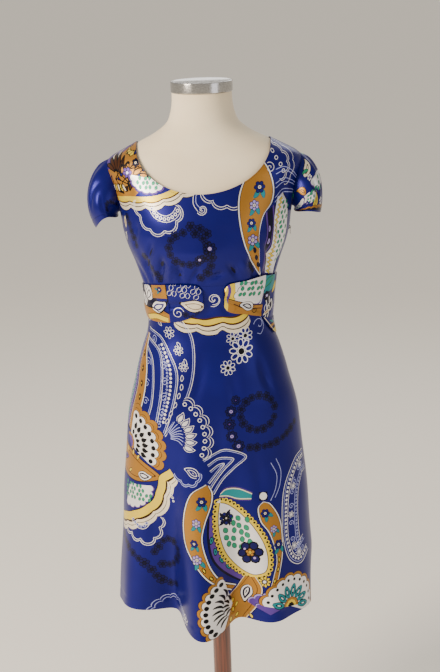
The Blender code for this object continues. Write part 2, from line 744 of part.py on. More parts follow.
def build_zip():
    metal = material("zip_metal", "zip_metal", 0.35, 0.9)
    place = slider_frame()

    body = bmesh.new()
    box(body, (SEAM_GAP, -SLIDER_HALF_WIDTH, -SLIDER_HALF_LENGTH),
        (SLIDER_THICKNESS, SLIDER_HALF_WIDTH, SLIDER_HALF_LENGTH))
    slider = add_object("zip_slider", body, metal)
    slider.matrix_world = place

    bridge = bmesh.new()
    sides = []
    for level in (-BRIDGE_HALF_WIDTH, BRIDGE_HALF_WIDTH):
        sides.append([bridge.verts.new((out, level, up)) for out, up in BRIDGE_PROFILE])
    bridge.faces.new(sides[0])
    bridge.faces.new(reversed(sides[1]))
    for index in range(len(BRIDGE_PROFILE)):
        beside = (index + 1) % len(BRIDGE_PROFILE)
        bridge.faces.new((sides[0][beside], sides[0][index], sides[1][index], sides[1][beside]))
    bmesh.ops.recalc_face_normals(bridge, faces=bridge.faces)
    arch = add_object("zip_bridge_guide", bridge, metal)
    arch.matrix_world = place
    arch.hide_render = True
    arch.display_type = "WIRE"
    joined = slider.modifiers.new("bridge", "BOOLEAN")
    joined.operation = "UNION"
    joined.object = arch

    pull = bmesh.new()
    outline = (
        # level, up: round the tab, then round its window
        (-PULL_HALF_WIDTH, PULL_TOP),
        (-PULL_HALF_WIDTH, PULL_TAPER_START),
        (-PULL_TIP_HALF_WIDTH, -PULL_LENGTH),
        (PULL_TIP_HALF_WIDTH, -PULL_LENGTH),
        (PULL_HALF_WIDTH, PULL_TAPER_START),
        (PULL_HALF_WIDTH, PULL_TOP),
        (WINDOW_HALF_WIDTH, PULL_TOP),
        (WINDOW_HALF_WIDTH, WINDOW_END),
        (-WINDOW_HALF_WIDTH, WINDOW_END),
        (-WINDOW_HALF_WIDTH, PULL_TOP),
    )
    faces = []
    for out in (-PULL_HALF_THICKNESS, PULL_HALF_THICKNESS):
        faces.append([pull.verts.new((out, level, up)) for level, up in outline])
    pull.faces.new(faces[0])
    pull.faces.new(reversed(faces[1]))
    for index in range(len(outline)):
        beside = (index + 1) % len(outline)
        pull.faces.new((faces[0][beside], faces[0][index], faces[1][index], faces[1][beside]))
    bmesh.ops.recalc_face_normals(pull, faces=pull.faces)
    tab = add_object("zip_pull", pull, metal.copy())
    hinge = place @ Vector((PIN_OUT, 0.0, PIN_UP))
    tab.location = hinge

    rod = bmesh.new()
    across = Matrix.Rotation(math.radians(90), 4, "X")
    bmesh.ops.create_cone(rod, cap_ends=True, segments=12, radius1=PIN_RADIUS, radius2=PIN_RADIUS,
                          depth=2.0 * PULL_HALF_WIDTH, matrix=across)
    pin = add_object("zip_pin_guide", rod, metal)
    pin.location = hinge
    pin.hide_render = True
    pin.display_type = "WIRE"
    pinned = tab.modifiers.new("pin", "BOOLEAN")
    pinned.operation = "UNION"
    pinned.object = pin


# ---------------------------------------------------------------- the whole
clear_scene()
build_form_body()
build_neck_cap()
build_stand()
build_bodice()
build_sleeves()
build_skirt()
build_sash()
build_zip()
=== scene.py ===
# The looks of a knee-length satin dress on a limbless dress form: printed royal blue satin, puffed cap
# sleeves, a folded sash, a side zip, a cream covered form with a chrome neck cap, and a mahogany stand.
# Metres, +Z up, front towards -Y, so the wearer's left is +X.

import math

import bmesh
import bpy
import numpy as np
from mathutils import Matrix, Vector
from mathutils.geometry import delaunay_2d_cdt


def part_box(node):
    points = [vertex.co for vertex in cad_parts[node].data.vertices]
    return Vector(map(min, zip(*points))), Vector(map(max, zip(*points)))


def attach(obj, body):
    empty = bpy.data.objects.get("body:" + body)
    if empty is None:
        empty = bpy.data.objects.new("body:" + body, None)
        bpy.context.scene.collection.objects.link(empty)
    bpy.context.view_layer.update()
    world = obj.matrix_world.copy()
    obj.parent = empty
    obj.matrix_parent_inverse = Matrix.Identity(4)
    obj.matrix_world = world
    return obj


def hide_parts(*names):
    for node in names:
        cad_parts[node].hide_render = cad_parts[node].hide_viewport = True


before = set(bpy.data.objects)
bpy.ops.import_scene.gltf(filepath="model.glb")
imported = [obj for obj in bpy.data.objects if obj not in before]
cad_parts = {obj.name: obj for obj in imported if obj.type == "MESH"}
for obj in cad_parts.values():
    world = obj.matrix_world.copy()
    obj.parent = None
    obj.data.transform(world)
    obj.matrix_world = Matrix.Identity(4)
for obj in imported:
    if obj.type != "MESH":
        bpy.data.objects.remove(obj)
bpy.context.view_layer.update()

# ================================================================ the stand: pole and base
# A turned mahogany pole stands in a round base with a rounded top edge. Both are stained dark red-brown
# and varnished. The pole's foot is glued into the base, and its head is screwed into the form body.
POLE_RADIUS = 0.0185
BASE_RADIUS = 0.170
BASE_HEIGHT = 0.024
BASE_EDGE = 0.008
BASE_GROOVE = 0.0012          # a shallow turned line round the base, and its depth
GRAIN_WIDTH = 0.0035          # from one dark grain line to the next


def linear(hex_colour):
    """An sRGB hex colour as a linear RGBA tuple."""
    channels = [int(hex_colour[index:index + 2], 16) / 255.0 for index in (1, 3, 5)]
    return (*[value / 12.92 if value <= 0.04045 else ((value + 0.055) / 1.055) ** 2.4
              for value in channels], 1.0)


def add_node(tree, kind, settings, links):
    """Adds a node with its settings. Each link is a plain value or another node's output."""
    made = tree.nodes.new(kind)
    for name, value in settings.items():
        setattr(made, name, value)
    for name, value in links.items():
        if isinstance(value, bpy.types.NodeSocket):
            tree.links.new(value, made.inputs[name])
        else:
            made.inputs[name].default_value = value
    return made


def new_material(name, **numbers):
    """A material with its nodes, its shader and each point's place on the piece.

    The numbers are set on the shader's own sockets.
    """
    made = bpy.data.materials.new(name)
    made.use_nodes = True
    tree = made.node_tree
    shader = tree.nodes["Principled BSDF"]
    for socket, value in numbers.items():
        shader.inputs[socket.replace("_", " ")].default_value = value
    return made, tree, shader, add_node(tree, "ShaderNodeTexCoord", {}, {}).outputs["Object"]


def noise(tree, place, scale, detail, **more):
    """A soft uneven texture."""
    inputs = {"Vector": place, "Scale": scale, "Detail": detail, **more}
    return add_node(tree, "ShaderNodeTexNoise", {}, inputs).outputs[0]


def ranged(tree, value, low, high, to_low, to_high):
    return add_node(tree, "ShaderNodeMapRange", {},
                    {"Value": value, "From Min": low, "From Max": high, "To Min": to_low,
                     "To Max": to_high}).outputs[0]


def colour_between(tree, shader, value, low_at, low, high_at, high):
    """Colours the shader by a texture's value, from one hex tone to another."""
    ramp = add_node(tree, "ShaderNodeValToRGB", {}, {"Fac": value})
    for stop, at, tone in zip(ramp.color_ramp.elements, (low_at, high_at), (low, high)):
        stop.position = at
        stop.color = linear(tone)
    tree.links.new(ramp.outputs[0], shader.inputs["Base Color"])


def relief(tree, shader, height, strength, distance):
    bump = add_node(tree, "ShaderNodeBump", {}, {"Height": height, "Strength": strength,
                                                 "Distance": distance})
    tree.links.new(bump.outputs[0], shader.inputs["Normal"])


def varnished_mahogany():
    """Wood with long dark grain lines under a varnish that gives a clear, slightly soft reflection."""
    wood, tree, shader, place = new_material("varnished_mahogany", Roughness=0.32, IOR=1.50, Coat_Weight=0.6,
                                             Coat_Roughness=0.12)
    along = add_node(tree, "ShaderNodeMapping", {}, {"Vector": place, "Scale": (1.0, 1.0, 0.045)}).outputs[0]
    grain = noise(tree, along, 1.0 / GRAIN_WIDTH, 6.0, Roughness=0.6)
    broad = noise(tree, along, 0.18 / GRAIN_WIDTH, 2.0)
    mixed = add_node(tree, "ShaderNodeMix", {"data_type": "FLOAT"}, {0: 0.4, 2: grain, 3: broad})
    colour_between(tree, shader, mixed.outputs[0], 0.36, "#2a100a", 0.66, "#7a3a22")
    relief(tree, shader, grain, 0.12, 0.0004)
    return wood


def lathe(name, profile, sides, material, node):
    """A turned piece from (radius, height) pairs that start and end on the axis."""
    shape = bmesh.new()
    rings = []
    for radius, height in profile[1:-1]:
        turns = [2.0 * math.pi * index / sides for index in range(sides)]
        rings.append([shape.verts.new((radius * math.cos(t), radius * math.sin(t), height)) for t in turns])
    bottom = shape.verts.new((0.0, 0.0, profile[0][1]))
    top = shape.verts.new((0.0, 0.0, profile[-1][1]))
    for index in range(sides):
        beside = (index + 1) % sides
        shape.faces.new((bottom, rings[0][beside], rings[0][index]))
        shape.faces.new((top, rings[-1][index], rings[-1][beside]))
        for low, high in zip(rings, rings[1:]):
            shape.faces.new((low[index], low[beside], high[beside], high[index]))
    return solid_piece(name, shape, material, node)


def mesh_of(name, shape):
    mesh = bpy.data.meshes.new(name)
    shape.to_mesh(mesh)
    shape.free()
    return mesh


def place_piece(name, mesh, material, node, body="dress_on_form"):
    """Puts a mesh into the scene in place of its CAD node. It rides with its body."""
    mesh.materials.append(material)
    piece = bpy.data.objects.new(name, mesh)
    bpy.context.scene.collection.objects.link(piece)
    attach(piece, body)
    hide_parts(node)
    return piece


def solid_piece(name, shape, material, node, body="dress_on_form"):
    """The same for a bmesh, with smooth faces and crisp edges."""
    mesh = mesh_of(name, shape)
    mesh.shade_smooth()
    mesh.set_sharp_from_angle(angle=math.radians(35.0))
    return place_piece(name, mesh, material, node, body)


def rounded(radius, height, bevel, count):
    """(radius, height) pairs round the upper outer edge of a turned piece."""
    turns = [math.radians(90.0) * index / count for index in range(count + 1)]
    return [(radius - bevel * (1.0 - math.cos(t)), height + bevel * math.sin(t)) for t in turns]


mahogany = varnished_mahogany()
pole_low, pole_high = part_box("stand_pole")
pole_profile = [(0.0, pole_low.z), (POLE_RADIUS, pole_low.z), (POLE_RADIUS, pole_high.z), (0.0, pole_high.z)]
lathe("wooden_pole", pole_profile, 64, mahogany, "stand_pole")
base_profile = [(0.0, 0.0), (BASE_RADIUS - 0.002, 0.0), (BASE_RADIUS, 0.002)]
base_profile += rounded(BASE_RADIUS, BASE_HEIGHT - BASE_EDGE, BASE_EDGE, 8)
base_profile += [(0.150, BASE_HEIGHT), (0.149, BASE_HEIGHT - BASE_GROOVE), (0.147, BASE_HEIGHT - BASE_GROOVE),
                 (0.146, BASE_HEIGHT), (0.0, BASE_HEIGHT)]
lathe("wooden_base", base_profile, 128, mahogany, "stand_base")

# ================================================================ the neck cap
# A spun steel cap, chrome plated, closes the neck of the form: polished round its rim, brushed in fine
# rings on top. It is pressed onto the neck block.
CAP_TOP = 1.460
CAP_HEIGHT = 0.020
CAP_RADIUS = 0.0575
CAP_EDGE = 0.0016
BRUSH_SPACING = 0.0006        # the real lines are finer; drawn this coarse so that they show


def brushed_chrome():
    """Chrome whose turned lines spread each reflection into a soft streak across them."""
    chrome, tree, shader, place = new_material("brushed_chrome", Metallic=1.0, Roughness=0.16)
    rings = add_node(tree, "ShaderNodeTexWave",
                     {"wave_type": "RINGS", "rings_direction": "Z", "wave_profile": "SIN"},
                     {"Vector": place, "Scale": 0.05 / BRUSH_SPACING, "Distortion": 1.5, "Detail": 2.0,
                      "Detail Scale": 4.0}).outputs[1]
    colour_between(tree, shader, rings, 0.0, "#9c9a98", 1.0, "#d2d0cd")
    tree.links.new(ranged(tree, rings, 0.0, 1.0, 0.14, 0.24), shader.inputs["Roughness"])
    relief(tree, shader, rings, 0.15, 0.0002)
    return chrome


cap_low = CAP_TOP - CAP_HEIGHT
cap_profile = [(0.0, cap_low), (CAP_RADIUS - CAP_EDGE, cap_low), (CAP_RADIUS, cap_low + CAP_EDGE)]
cap_profile += rounded(CAP_RADIUS, CAP_TOP - CAP_EDGE, CAP_EDGE, 6)
cap_profile += [(0.0530, CAP_TOP), (0.0520, CAP_TOP - 0.0004), (0.0, CAP_TOP - 0.0004)]
lathe("neck_cap_chrome", cap_profile, 128, brushed_chrome(), "neck_cap")

# ================================================================ the form body
# A moulded torso with a thin layer of padding under a stretched cover of cream jersey knit. The cover is
# sewn up the sides and drawn tight under the cap and round the underside.
COVER_INSIDE = 0.999          # the cover lies this share inside the solid, clear of the cloth
FORM = (
    # height, half_width, front, back, fullness
    (0.722, 0.1300, 0.0800, 0.0920, 2.2),
    (0.735, 0.1455, 0.0920, 0.1050, 2.2),
    (0.770, 0.1510, 0.0970, 0.1110, 2.2),
    (0.830, 0.1540, 0.0990, 0.1150, 2.2),
    (0.890, 0.1430, 0.0960, 0.1090, 2.2),
    (0.940, 0.1280, 0.0900, 0.0960, 2.2),
    (0.990, 0.1130, 0.0840, 0.0830, 2.2),
    (1.030, 0.1095, 0.0830, 0.0780, 2.2),
    (1.070, 0.1130, 0.0890, 0.0800, 2.2),
    (1.110, 0.1240, 0.0990, 0.0870, 2.2),
    (1.150, 0.1385, 0.1140, 0.0950, 2.2),
    (1.190, 0.1490, 0.1210, 0.1010, 2.2),
    (1.225, 0.1540, 0.1150, 0.1040, 2.2),
    (1.255, 0.1625, 0.1050, 0.1040, 2.2),
    (1.285, 0.1715, 0.0940, 0.1000, 2.2),
    (1.305, 0.1740, 0.0860, 0.0950, 2.2),
    (1.318, 0.1720, 0.0810, 0.0905, 2.1),
    (1.328, 0.1626, 0.0770, 0.0865, 2.1),
    (1.340, 0.1403, 0.0730, 0.0825, 2.0),
    (1.352, 0.1180, 0.0700, 0.0785, 2.0),
    (1.362, 0.0975, 0.0670, 0.0750, 2.0),
    (1.374, 0.0790, 0.0630, 0.0700, 2.0),
    (1.386, 0.0665, 0.0600, 0.0650, 2.0),
    (1.402, 0.0600, 0.0570, 0.0600, 2.0),
    (1.420, 0.0565, 0.0555, 0.0570, 2.0),
    (1.4397, 0.0555, 0.0550, 0.0550, 2.0),
)
KNIT_SPACING = 0.0016         # real jersey has a stitch every 0.6 mm; drawn this coarse so that it shows


def table_value(table, column, at):
    """A column of a table between its rows, by a cubic with its neighbours' slopes."""
    rows = np.array(table)
    keys, values = rows[:, 0], rows[:, column]
    last = len(keys) - 1
    low = np.clip(np.searchsorted(keys, at, side="right") - 1, 0, last - 1)
    high, before, after = low + 1, np.maximum(low - 1, 0), np.minimum(low + 2, last)
    span = keys[high] - keys[low]
    share = np.clip((at - keys[low]) / span, 0.0, 1.0)
    low_slope = (values[high] - values[before]) / (keys[high] - keys[before]) * span
    high_slope = (values[after] - values[low]) / (keys[after] - keys[low]) * span
    square, cube = share ** 2, share ** 3
    return ((2 * cube - 3 * square + 1) * values[low] + (cube - 2 * square + share) * low_slope
            + (3 * square - 2 * cube) * values[high] + (cube - square) * high_slope)


def section_point(table, angle, height):
    """Points on level sections: ovals with their own half width, front and back depth."""
    angle, height = np.broadcast_arrays(np.asarray(angle, float), np.asarray(height, float))
    half_width, front, back, fullness = (table_value(table, column, height) for column in (1, 2, 3, 4))
    across, along = np.cos(np.radians(angle)), np.sin(np.radians(angle))
    swell = (np.abs(across) ** fullness + np.abs(along) ** fullness) ** (-1.0 / fullness)
    depth = np.where(along > 0.0, front, back)
    return np.stack([half_width * swell * across, -depth * swell * along, height], -1)


def jersey_cover():
    """Matt cream knit with a faint fuzz: fine rows of stitches, and a soft rim of light."""
    cover, tree, shader, place = new_material("cream_jersey", Roughness=0.85, IOR=1.45, Sheen_Weight=0.25,
                                              Sheen_Roughness=0.5)
    rows = add_node(tree, "ShaderNodeTexWave", {"wave_type": "BANDS", "bands_direction": "Z"},
                    {"Vector": place, "Scale": 0.157 / KNIT_SPACING, "Distortion": 0.6, "Detail": 1.0})
    colour_between(tree, shader, noise(tree, place, 9.0, 4.0), 0.3, "#e9d8b8", 0.7, "#f4e7cb")
    fuzzy = add_node(tree, "ShaderNodeMath", {"operation": "ADD"},
                     {0: rows.outputs[1], 1: noise(tree, place, 900.0, 2.0)})
    relief(tree, shader, fuzzy.outputs[0], 0.18, 0.0003)
    return cover


def form_body():
    """The torso as fine level rings, closed by a flat neck and a flat underside."""
    sides = 120
    heights = np.unique([*np.linspace(FORM[0][0], FORM[-1][0], 150), *[row[0] for row in FORM]])
    shape = bmesh.new()
    rings = []
    for height in heights:
        points = section_point(FORM, np.arange(sides) * 360.0 / sides, height)
        points[:, :2] *= COVER_INSIDE
        rings.append([shape.verts.new(point) for point in points])
    for low, high in zip(rings, rings[1:]):
        for index in range(sides):
            beside = (index + 1) % sides
            shape.faces.new((low[beside], low[index], high[index], high[beside]))
    shape.faces.new(rings[0])
    shape.faces.new(list(reversed(rings[-1])))
    bmesh.ops.recalc_face_normals(shape, faces=shape.faces)
    return solid_piece("covered_form_body", shape, jersey_cover(), "form_body")


form_body()

# ================================================================ the front bodice
# Cut on the fold from printed stretch satin, with a scoop neck. Its lower edge is gathered under each
# bust and sewn to the skirt. The neckline and the armholes are turned under and edge stitched.
CLOTH = 0.0015                # the satin with its turned edge, as thick as the solids are
SEAM_GAP = 0.0003
WAIST_FRONT = 1.095
WAIST_SIDE = 1.070
UNDERARM = 1.222
SHOULDER_TIP = 1.322
NECK_POINT = 1.352
HEM = 0.416
NECK_SHIFT = -0.006
FRONT_NECK_DROP = 0.085
BACK_NECK_DROP = 0.040
ARMHOLE_FRONT_ANGLE = 22.0
ARMHOLE_BACK_ANGLE = 20.0
SIDE_GAP_ANGLE = 0.09
DRESS = (
    # height, half_width, front, back, fullness
    (0.370, 0.2010, 0.1500, 0.1610, 2.0),
    (0.497, 0.1960, 0.1420, 0.1530, 2.0),
    (0.585, 0.1890, 0.1350, 0.1470, 2.0),
    (0.671, 0.1835, 0.1280, 0.1410, 2.05),
    (0.756, 0.1740, 0.1210, 0.1350, 2.1),
    (0.823, 0.1670, 0.1160, 0.1290, 2.15),
    (0.856, 0.1600, 0.1130, 0.1250, 2.2),
    (0.889, 0.1510, 0.1090, 0.1180, 2.2),
    (0.921, 0.1430, 0.1050, 0.1100, 2.2),
    (0.955, 0.1330, 0.0995, 0.1000, 2.2),
    (0.985, 0.1225, 0.0950, 0.0920, 2.2),
    (1.005, 0.1190, 0.0935, 0.0890, 2.2),
    (1.040, 0.1180, 0.0945, 0.0870, 2.2),
    (1.070, 0.1215, 0.0990, 0.0895, 2.2),
    (1.098, 0.1290, 0.1070, 0.0940, 2.2),
    (1.130, 0.1390, 0.1190, 0.0990, 2.2),
    (1.160, 0.1500, 0.1280, 0.1050, 2.2),
    (1.190, 0.1575, 0.1300, 0.1090, 2.2),
    (1.207, 0.1595, 0.1280, 0.1110, 2.2),
    (1.225, 0.1625, 0.1240, 0.1120, 2.2),
    (1.255, 0.1710, 0.1140, 0.1120, 2.2),
    (1.285, 0.1800, 0.1020, 0.1080, 2.2),
    (1.305, 0.1835, 0.0945, 0.1030, 2.2),
    (1.318, 0.1810, 0.0895, 0.0990, 2.1),
    (1.328, 0.1700, 0.0855, 0.0955, 2.1),
    (1.340, 0.1475, 0.0810, 0.0910, 2.0),
    (1.352, 0.1245, 0.0775, 0.0870, 2.0),
    (1.362, 0.1070, 0.0745, 0.0840, 2.0),
)
GATHERS = (
    # seam_angle, top_angle, reach, depth, width
    (30.0, 17.0, 0.085, 0.0042, 4.0),
    (39.0, 33.0, 0.120, 0.0060, 4.2),
    (49.0, 52.0, 0.075, 0.0044, 4.2),
    (131.0, 127.0, 0.065, 0.0036, 4.2),
    (142.0, 144.0, 0.095, 0.0060, 4.2),
    (152.0, 161.0, 0.075, 0.0042, 4.0),
    (224.0, 226.0, 0.060, 0.0022, 5.0),
    (316.0, 314.0, 0.060, 0.0022, 5.0),
)


def smooth_step(value):
    held = np.clip(value, 0.0, 1.0)
    return held * held * (3.0 - 2.0 * held)


# Places on the cloth are (across, height): the way round the dress's level section from centre front or
# centre back, to the right as seen from outside, and the height. Arcs are measured once on a fine grid.
ARC_ANGLES = np.linspace(0.0, 360.0, 361)
ARC_HEIGHTS = np.arange(0.37, 1.3621, 0.004)
arc_points = section_point(DRESS, ARC_ANGLES[None, :], ARC_HEIGHTS[:, None])
arc_steps = np.linalg.norm(np.diff(arc_points, axis=1), axis=2)
ARCS = np.concatenate([np.zeros((len(ARC_HEIGHTS), 1)), np.cumsum(arc_steps, axis=1)], axis=1)


def arc_at(angle, height):
    """The way round the section from the wearer's left side to this angle."""
    row = np.clip((height - ARC_HEIGHTS[0]) / (ARC_HEIGHTS[1] - ARC_HEIGHTS[0]), 0, len(ARC_HEIGHTS) - 1.001)
    column = np.clip(np.asarray(angle, float), 0.0, 359.999)
    i, j = row.astype(int), column.astype(int)
    a, b = row - i, column - j
    return ((1 - a) * ((1 - b) * ARCS[i, j] + b * ARCS[i, j + 1])
            + a * ((1 - b) * ARCS[i + 1, j] + b * ARCS[i + 1, j + 1]))


def angle_of(across, height, centre):
    """The angle of a place on the cloth, where centre is 90 for the front and 270 for the back."""
    across, height = np.asarray(across, float), np.asarray(height, float)
    wanted = arc_at(np.full_like(height, centre), height) - across
    low, high = np.full_like(wanted, centre - 90.0), np.full_like(wanted, centre + 90.0)
    for _ in range(24):
        middle = 0.5 * (low + high)
        short = arc_at(middle, height) < wanted
        low, high = np.where(short, middle, low), np.where(short, high, middle)
    return 0.5 * (low + high)


def across_of(angle, height, centre):
    angle, height = np.asarray(angle, float), np.asarray(height, float)
    return arc_at(np.full_like(height, centre), height) - arc_at(angle, height)


def level_normal(angle, height):
    tangent = section_point(DRESS, angle + 0.5, height) - section_point(DRESS, angle - 0.5, height)
    normal = np.stack([-tangent[..., 1], tangent[..., 0], np.zeros(tangent.shape[:-1])], -1)
    return normal / np.linalg.norm(normal, axis=-1, keepdims=True)


def dress_point(angle, height, lift):
    """Points on the dress's outer face, lifted along the level normal."""
    return section_point(DRESS, angle, height) + level_normal(angle, height) * np.asarray(lift)[..., None]


def waist_seam(angle):
    front = np.maximum(0.0, np.sin(np.radians(angle)))
    return WAIST_SIDE + (WAIST_FRONT - WAIST_SIDE) * smooth_step(front)


def gather_depth(angle, height):
    """How far the gathers draw the cloth in, each fading up from the seam."""
    above = height - waist_seam(angle)
    depth = np.zeros_like(height)
    for seam_angle, top_angle, reach, deepest, width in GATHERS:
        share = above / reach
        middle = seam_angle + (top_angle - seam_angle) * share
        strength = smooth_step(share / 0.28) * smooth_step((1.0 - share) / 0.75)
        depth += deepest * strength * np.exp(-((angle - middle) / width) ** 2)
    return depth


def crease_depth(creases, across, height):
    """Soft uneven troughs, or ridges where the depth is negative, each along its own line."""
    depth = np.zeros_like(height)
    for middle, level, half_length, half_width, deepest, turn, bend in creases:
        c, s = math.cos(math.radians(turn)), math.sin(math.radians(turn))
        along = ((across - middle) * c + (height - level) * s) / half_length
        beside = (-(across - middle) * s + (height - level) * c - bend * (along ** 2 - 0.3)) / half_width
        fade = smooth_step(1.0 - np.abs(along)) * (1.0 + 0.3 * np.sin(5.0 * along + 9.0 * middle))
        depth += deepest * fade * np.exp(-beside ** 2)
    return depth


def seam_roll(distance, depth=0.0009, reach=0.0035):
    """How far cloth dips towards a seam or a turned edge at this distance."""
    return depth * np.exp(-(distance / reach) ** 2)


class Drawing:
    """A print in millimetres on the cloth: flat patches of colour, each laid over those before it."""

    def __init__(self):
        self.patches = []

    def patch(self, colour, points):
        self.patches.append((colour, [(float(x), float(y)) for x, y in points]))

    def line(self, colour, path, width):
        path = np.asarray(path, float)
        side = side_of(path) * 0.5 * width
        self.strip(colour, path + side, path - side)

    def strip(self, colour, near, far):
        """The cloth between two paths, as one patch for each step."""
        for step in range(len(near) - 1):
            self.patch(colour, (near[step], near[step + 1], far[step + 1], far[step]))

    def curve(self, colour, points, count, width):
        self.line(colour, smooth_path(points, count), width)

    def moved(self, other, x, y, mirrored=False):
        """Adds another drawing's patches, moved and perhaps mirrored, as the print repeats."""
        way = (-1.0 if mirrored else 1.0, 1.0)
        for colour, points in other.patches:
            self.patch(colour, np.asarray(points) * way + (x, y))

    def stitches(self, colour, path, length=2.4, spacing=3.8, width=0.55):
        """A row of thread stitches along a path."""
        for start in np.arange(0.0, lengths_along(path)[-1] - length, spacing):
            self.line(colour, [point_along(path, at) for at in (start, start + length)], width)

    def disc(self, colour, x, y, radius, sides, squash=1.0, turn=0.0):
        turns = np.arange(sides) * 2.0 * math.pi / sides
        points = np.stack([radius * np.cos(turns), squash * radius * np.sin(turns)], 1)
        self.patch(colour, points @ rotation(turn).T + (x, y))


def rotation(turn):
    c, s = math.cos(math.radians(turn)), math.sin(math.radians(turn))
    return np.array(((c, -s), (s, c)))


def side_of(path):
    """The way to the left of a path at each of its points."""
    way = np.gradient(path, axis=0)
    way /= np.maximum(np.linalg.norm(way, axis=1, keepdims=True), 1e-9)
    return np.stack([-way[:, 1], way[:, 0]], 1)


def lengths_along(path):
    return np.concatenate([[0.0], np.cumsum(np.linalg.norm(np.diff(path, axis=0), axis=1))])


def point_along(path, at):
    steps = lengths_along(path)
    return [np.interp(at, steps, path[:, axis]) for axis in (0, 1)]


PRINT_COLOURS = {
    "royal": "#13126a",
    "navy": "#0b0b2c",
    "ink": "#07060c",
    "dusk": "#12114f",
    "tan": "#a0702a",
    "yellow": "#e0c43c",
    "cream": "#e0d5bf",
    "white": "#e4e3e6",
    "pale_line": "#aab2ea",
    "brown": "#43240f",
    "purple": "#54388e",
    "lilac": "#a08fd0",
    "teal": "#1f7f88",
    "green": "#2b8a69",
}


def printed_satin(name):
    """Smooth, heavy satin: one broad soft highlight along each fold, the print dyed into the weave.

    Dyed silk reflects in its own colour, so the shader is part metallic and the highlights stay blue on blue.
    The threads lie 0.2 mm apart, too fine to show, so the weave is drawn every 0.8 mm.
    """
    satin, tree, shader, place = new_material(name, Roughness=0.31, Metallic=0.42, Specular_IOR_Level=0.22,
                                              Sheen_Weight=0.05, Sheen_Roughness=0.35, Anisotropic=0.4)
    shader.inputs["Sheen Tint"].default_value = linear("#8f9be8")
    dye = add_node(tree, "ShaderNodeVertexColor", {"layer_name": "print"}, {})
    threads = noise(tree, place, 1250.0, 1.0)
    shade = add_node(tree, "ShaderNodeMath", {"operation": "MULTIPLY"},
                     {0: ranged(tree, noise(tree, place, 14.0, 3.0), 0.3, 0.7, 0.92, 1.08),
                      1: ranged(tree, threads, 0.3, 0.7, 0.94, 1.06)})
    tinted = add_node(tree, "ShaderNodeVectorMath", {"operation": "SCALE"},
                      {0: dye.outputs[0], "Scale": shade.outputs[0]})
    tree.links.new(tinted.outputs[0], shader.inputs["Base Color"])
    relief(tree, shader, threads, 0.06, 0.0002)
    return satin


def facing(place, across, height, step=0.0006):
    """Points on a cloth and their normals, out from the side that the place function is given for."""
    points = place(across, height)
    along_a = place(across + step, height) - place(across - step, height)
    along_h = place(across, height + step) - place(across, height - step)
    normals = np.cross(along_a, along_h)
    return points, normals / np.maximum(np.linalg.norm(normals, axis=1, keepdims=True), 1e-12)


def within(points, corner_loop):
    """Which of the points lie inside a closed loop of corners."""
    if len(points) > 4000:
        parts = np.array_split(points, len(points) // 4000 + 1)
        return np.concatenate([within(part, corner_loop) for part in parts])
    starts = np.asarray(corner_loop, float)
    ends = np.roll(starts, -1, axis=0)
    x, y = points[:, 0][:, None], points[:, 1][:, None]
    crosses = (starts[:, 1] > y) != (ends[:, 1] > y)
    rise = np.where(ends[:, 1] == starts[:, 1], 1.0, ends[:, 1] - starts[:, 1])
    reach = starts[:, 0] + (y - starts[:, 1]) * (ends[:, 0] - starts[:, 0]) / rise
    return (np.sum(crosses & (x < reach), axis=1) % 2).astype(bool)


def cut_cloth(outline, patches, spacing):
    """Cuts the flat outline into triangles along the print's edges and a grid of this spacing.

    Returns the corners, the triangles and the number of the topmost patch on each, or -1 for bare cloth.
    """
    loops = [np.array(points) * 0.001 for _, points in patches]
    corners = [Vector(point) for point in outline]
    rim, edges = list(range(len(corners))), []
    for loop in loops:
        first, count = len(corners), len(loop)
        corners.extend(Vector(point) for point in loop)
        edges.extend((first + index, first + (index + 1) % count) for index in range(count))
    low, high = np.min(outline, axis=0), np.max(outline, axis=0)
    for row, y in enumerate(np.arange(low[1] + 0.5 * spacing, high[1], spacing * 0.866)):
        start = low[0] + 0.25 * spacing * (1 + 2 * (row % 2))
        corners.extend(Vector((x, y)) for x in np.arange(start, high[0], spacing))
    found = delaunay_2d_cdt(corners, edges, [rim], 1, 1e-5, False)
    flat, triangles = np.array([tuple(corner) for corner in found[0]]), np.array(found[2])
    middles = flat[triangles].mean(axis=1)
    inside = within(middles, outline)
    triangles, middles = triangles[inside], middles[inside]
    used = np.unique(triangles)
    renumbered = np.full(len(flat), -1)
    renumbered[used] = np.arange(len(used))
    flat, triangles = flat[used], renumbered[triangles]
    order = np.argsort(middles[:, 1])
    levels = middles[order, 1]
    tops = np.full(len(triangles), -1)
    for number, loop in enumerate(loops):
        first, last = np.searchsorted(levels, (loop[:, 1].min(), loop[:, 1].max()))
        near = order[first:last]
        near = near[(middles[near, 0] > loop[:, 0].min()) & (middles[near, 0] < loop[:, 0].max())]
        if len(near):
            tops[near[within(middles[near], loop)]] = number
    return flat, triangles, tops


def rim_of(triangles):
    """The closed loop of corners round the edge of a cut cloth, in order."""
    edges = np.concatenate([triangles[:, (0, 1)], triangles[:, (1, 2)], triangles[:, (2, 0)]])
    pairs = {(int(a), int(b)) for a, b in edges}
    follows = {a: b for a, b in pairs if (b, a) not in pairs}
    loop = [next(iter(follows))]
    while follows[loop[-1]] != loop[0]:
        loop.append(follows[loop[-1]])
    return loop


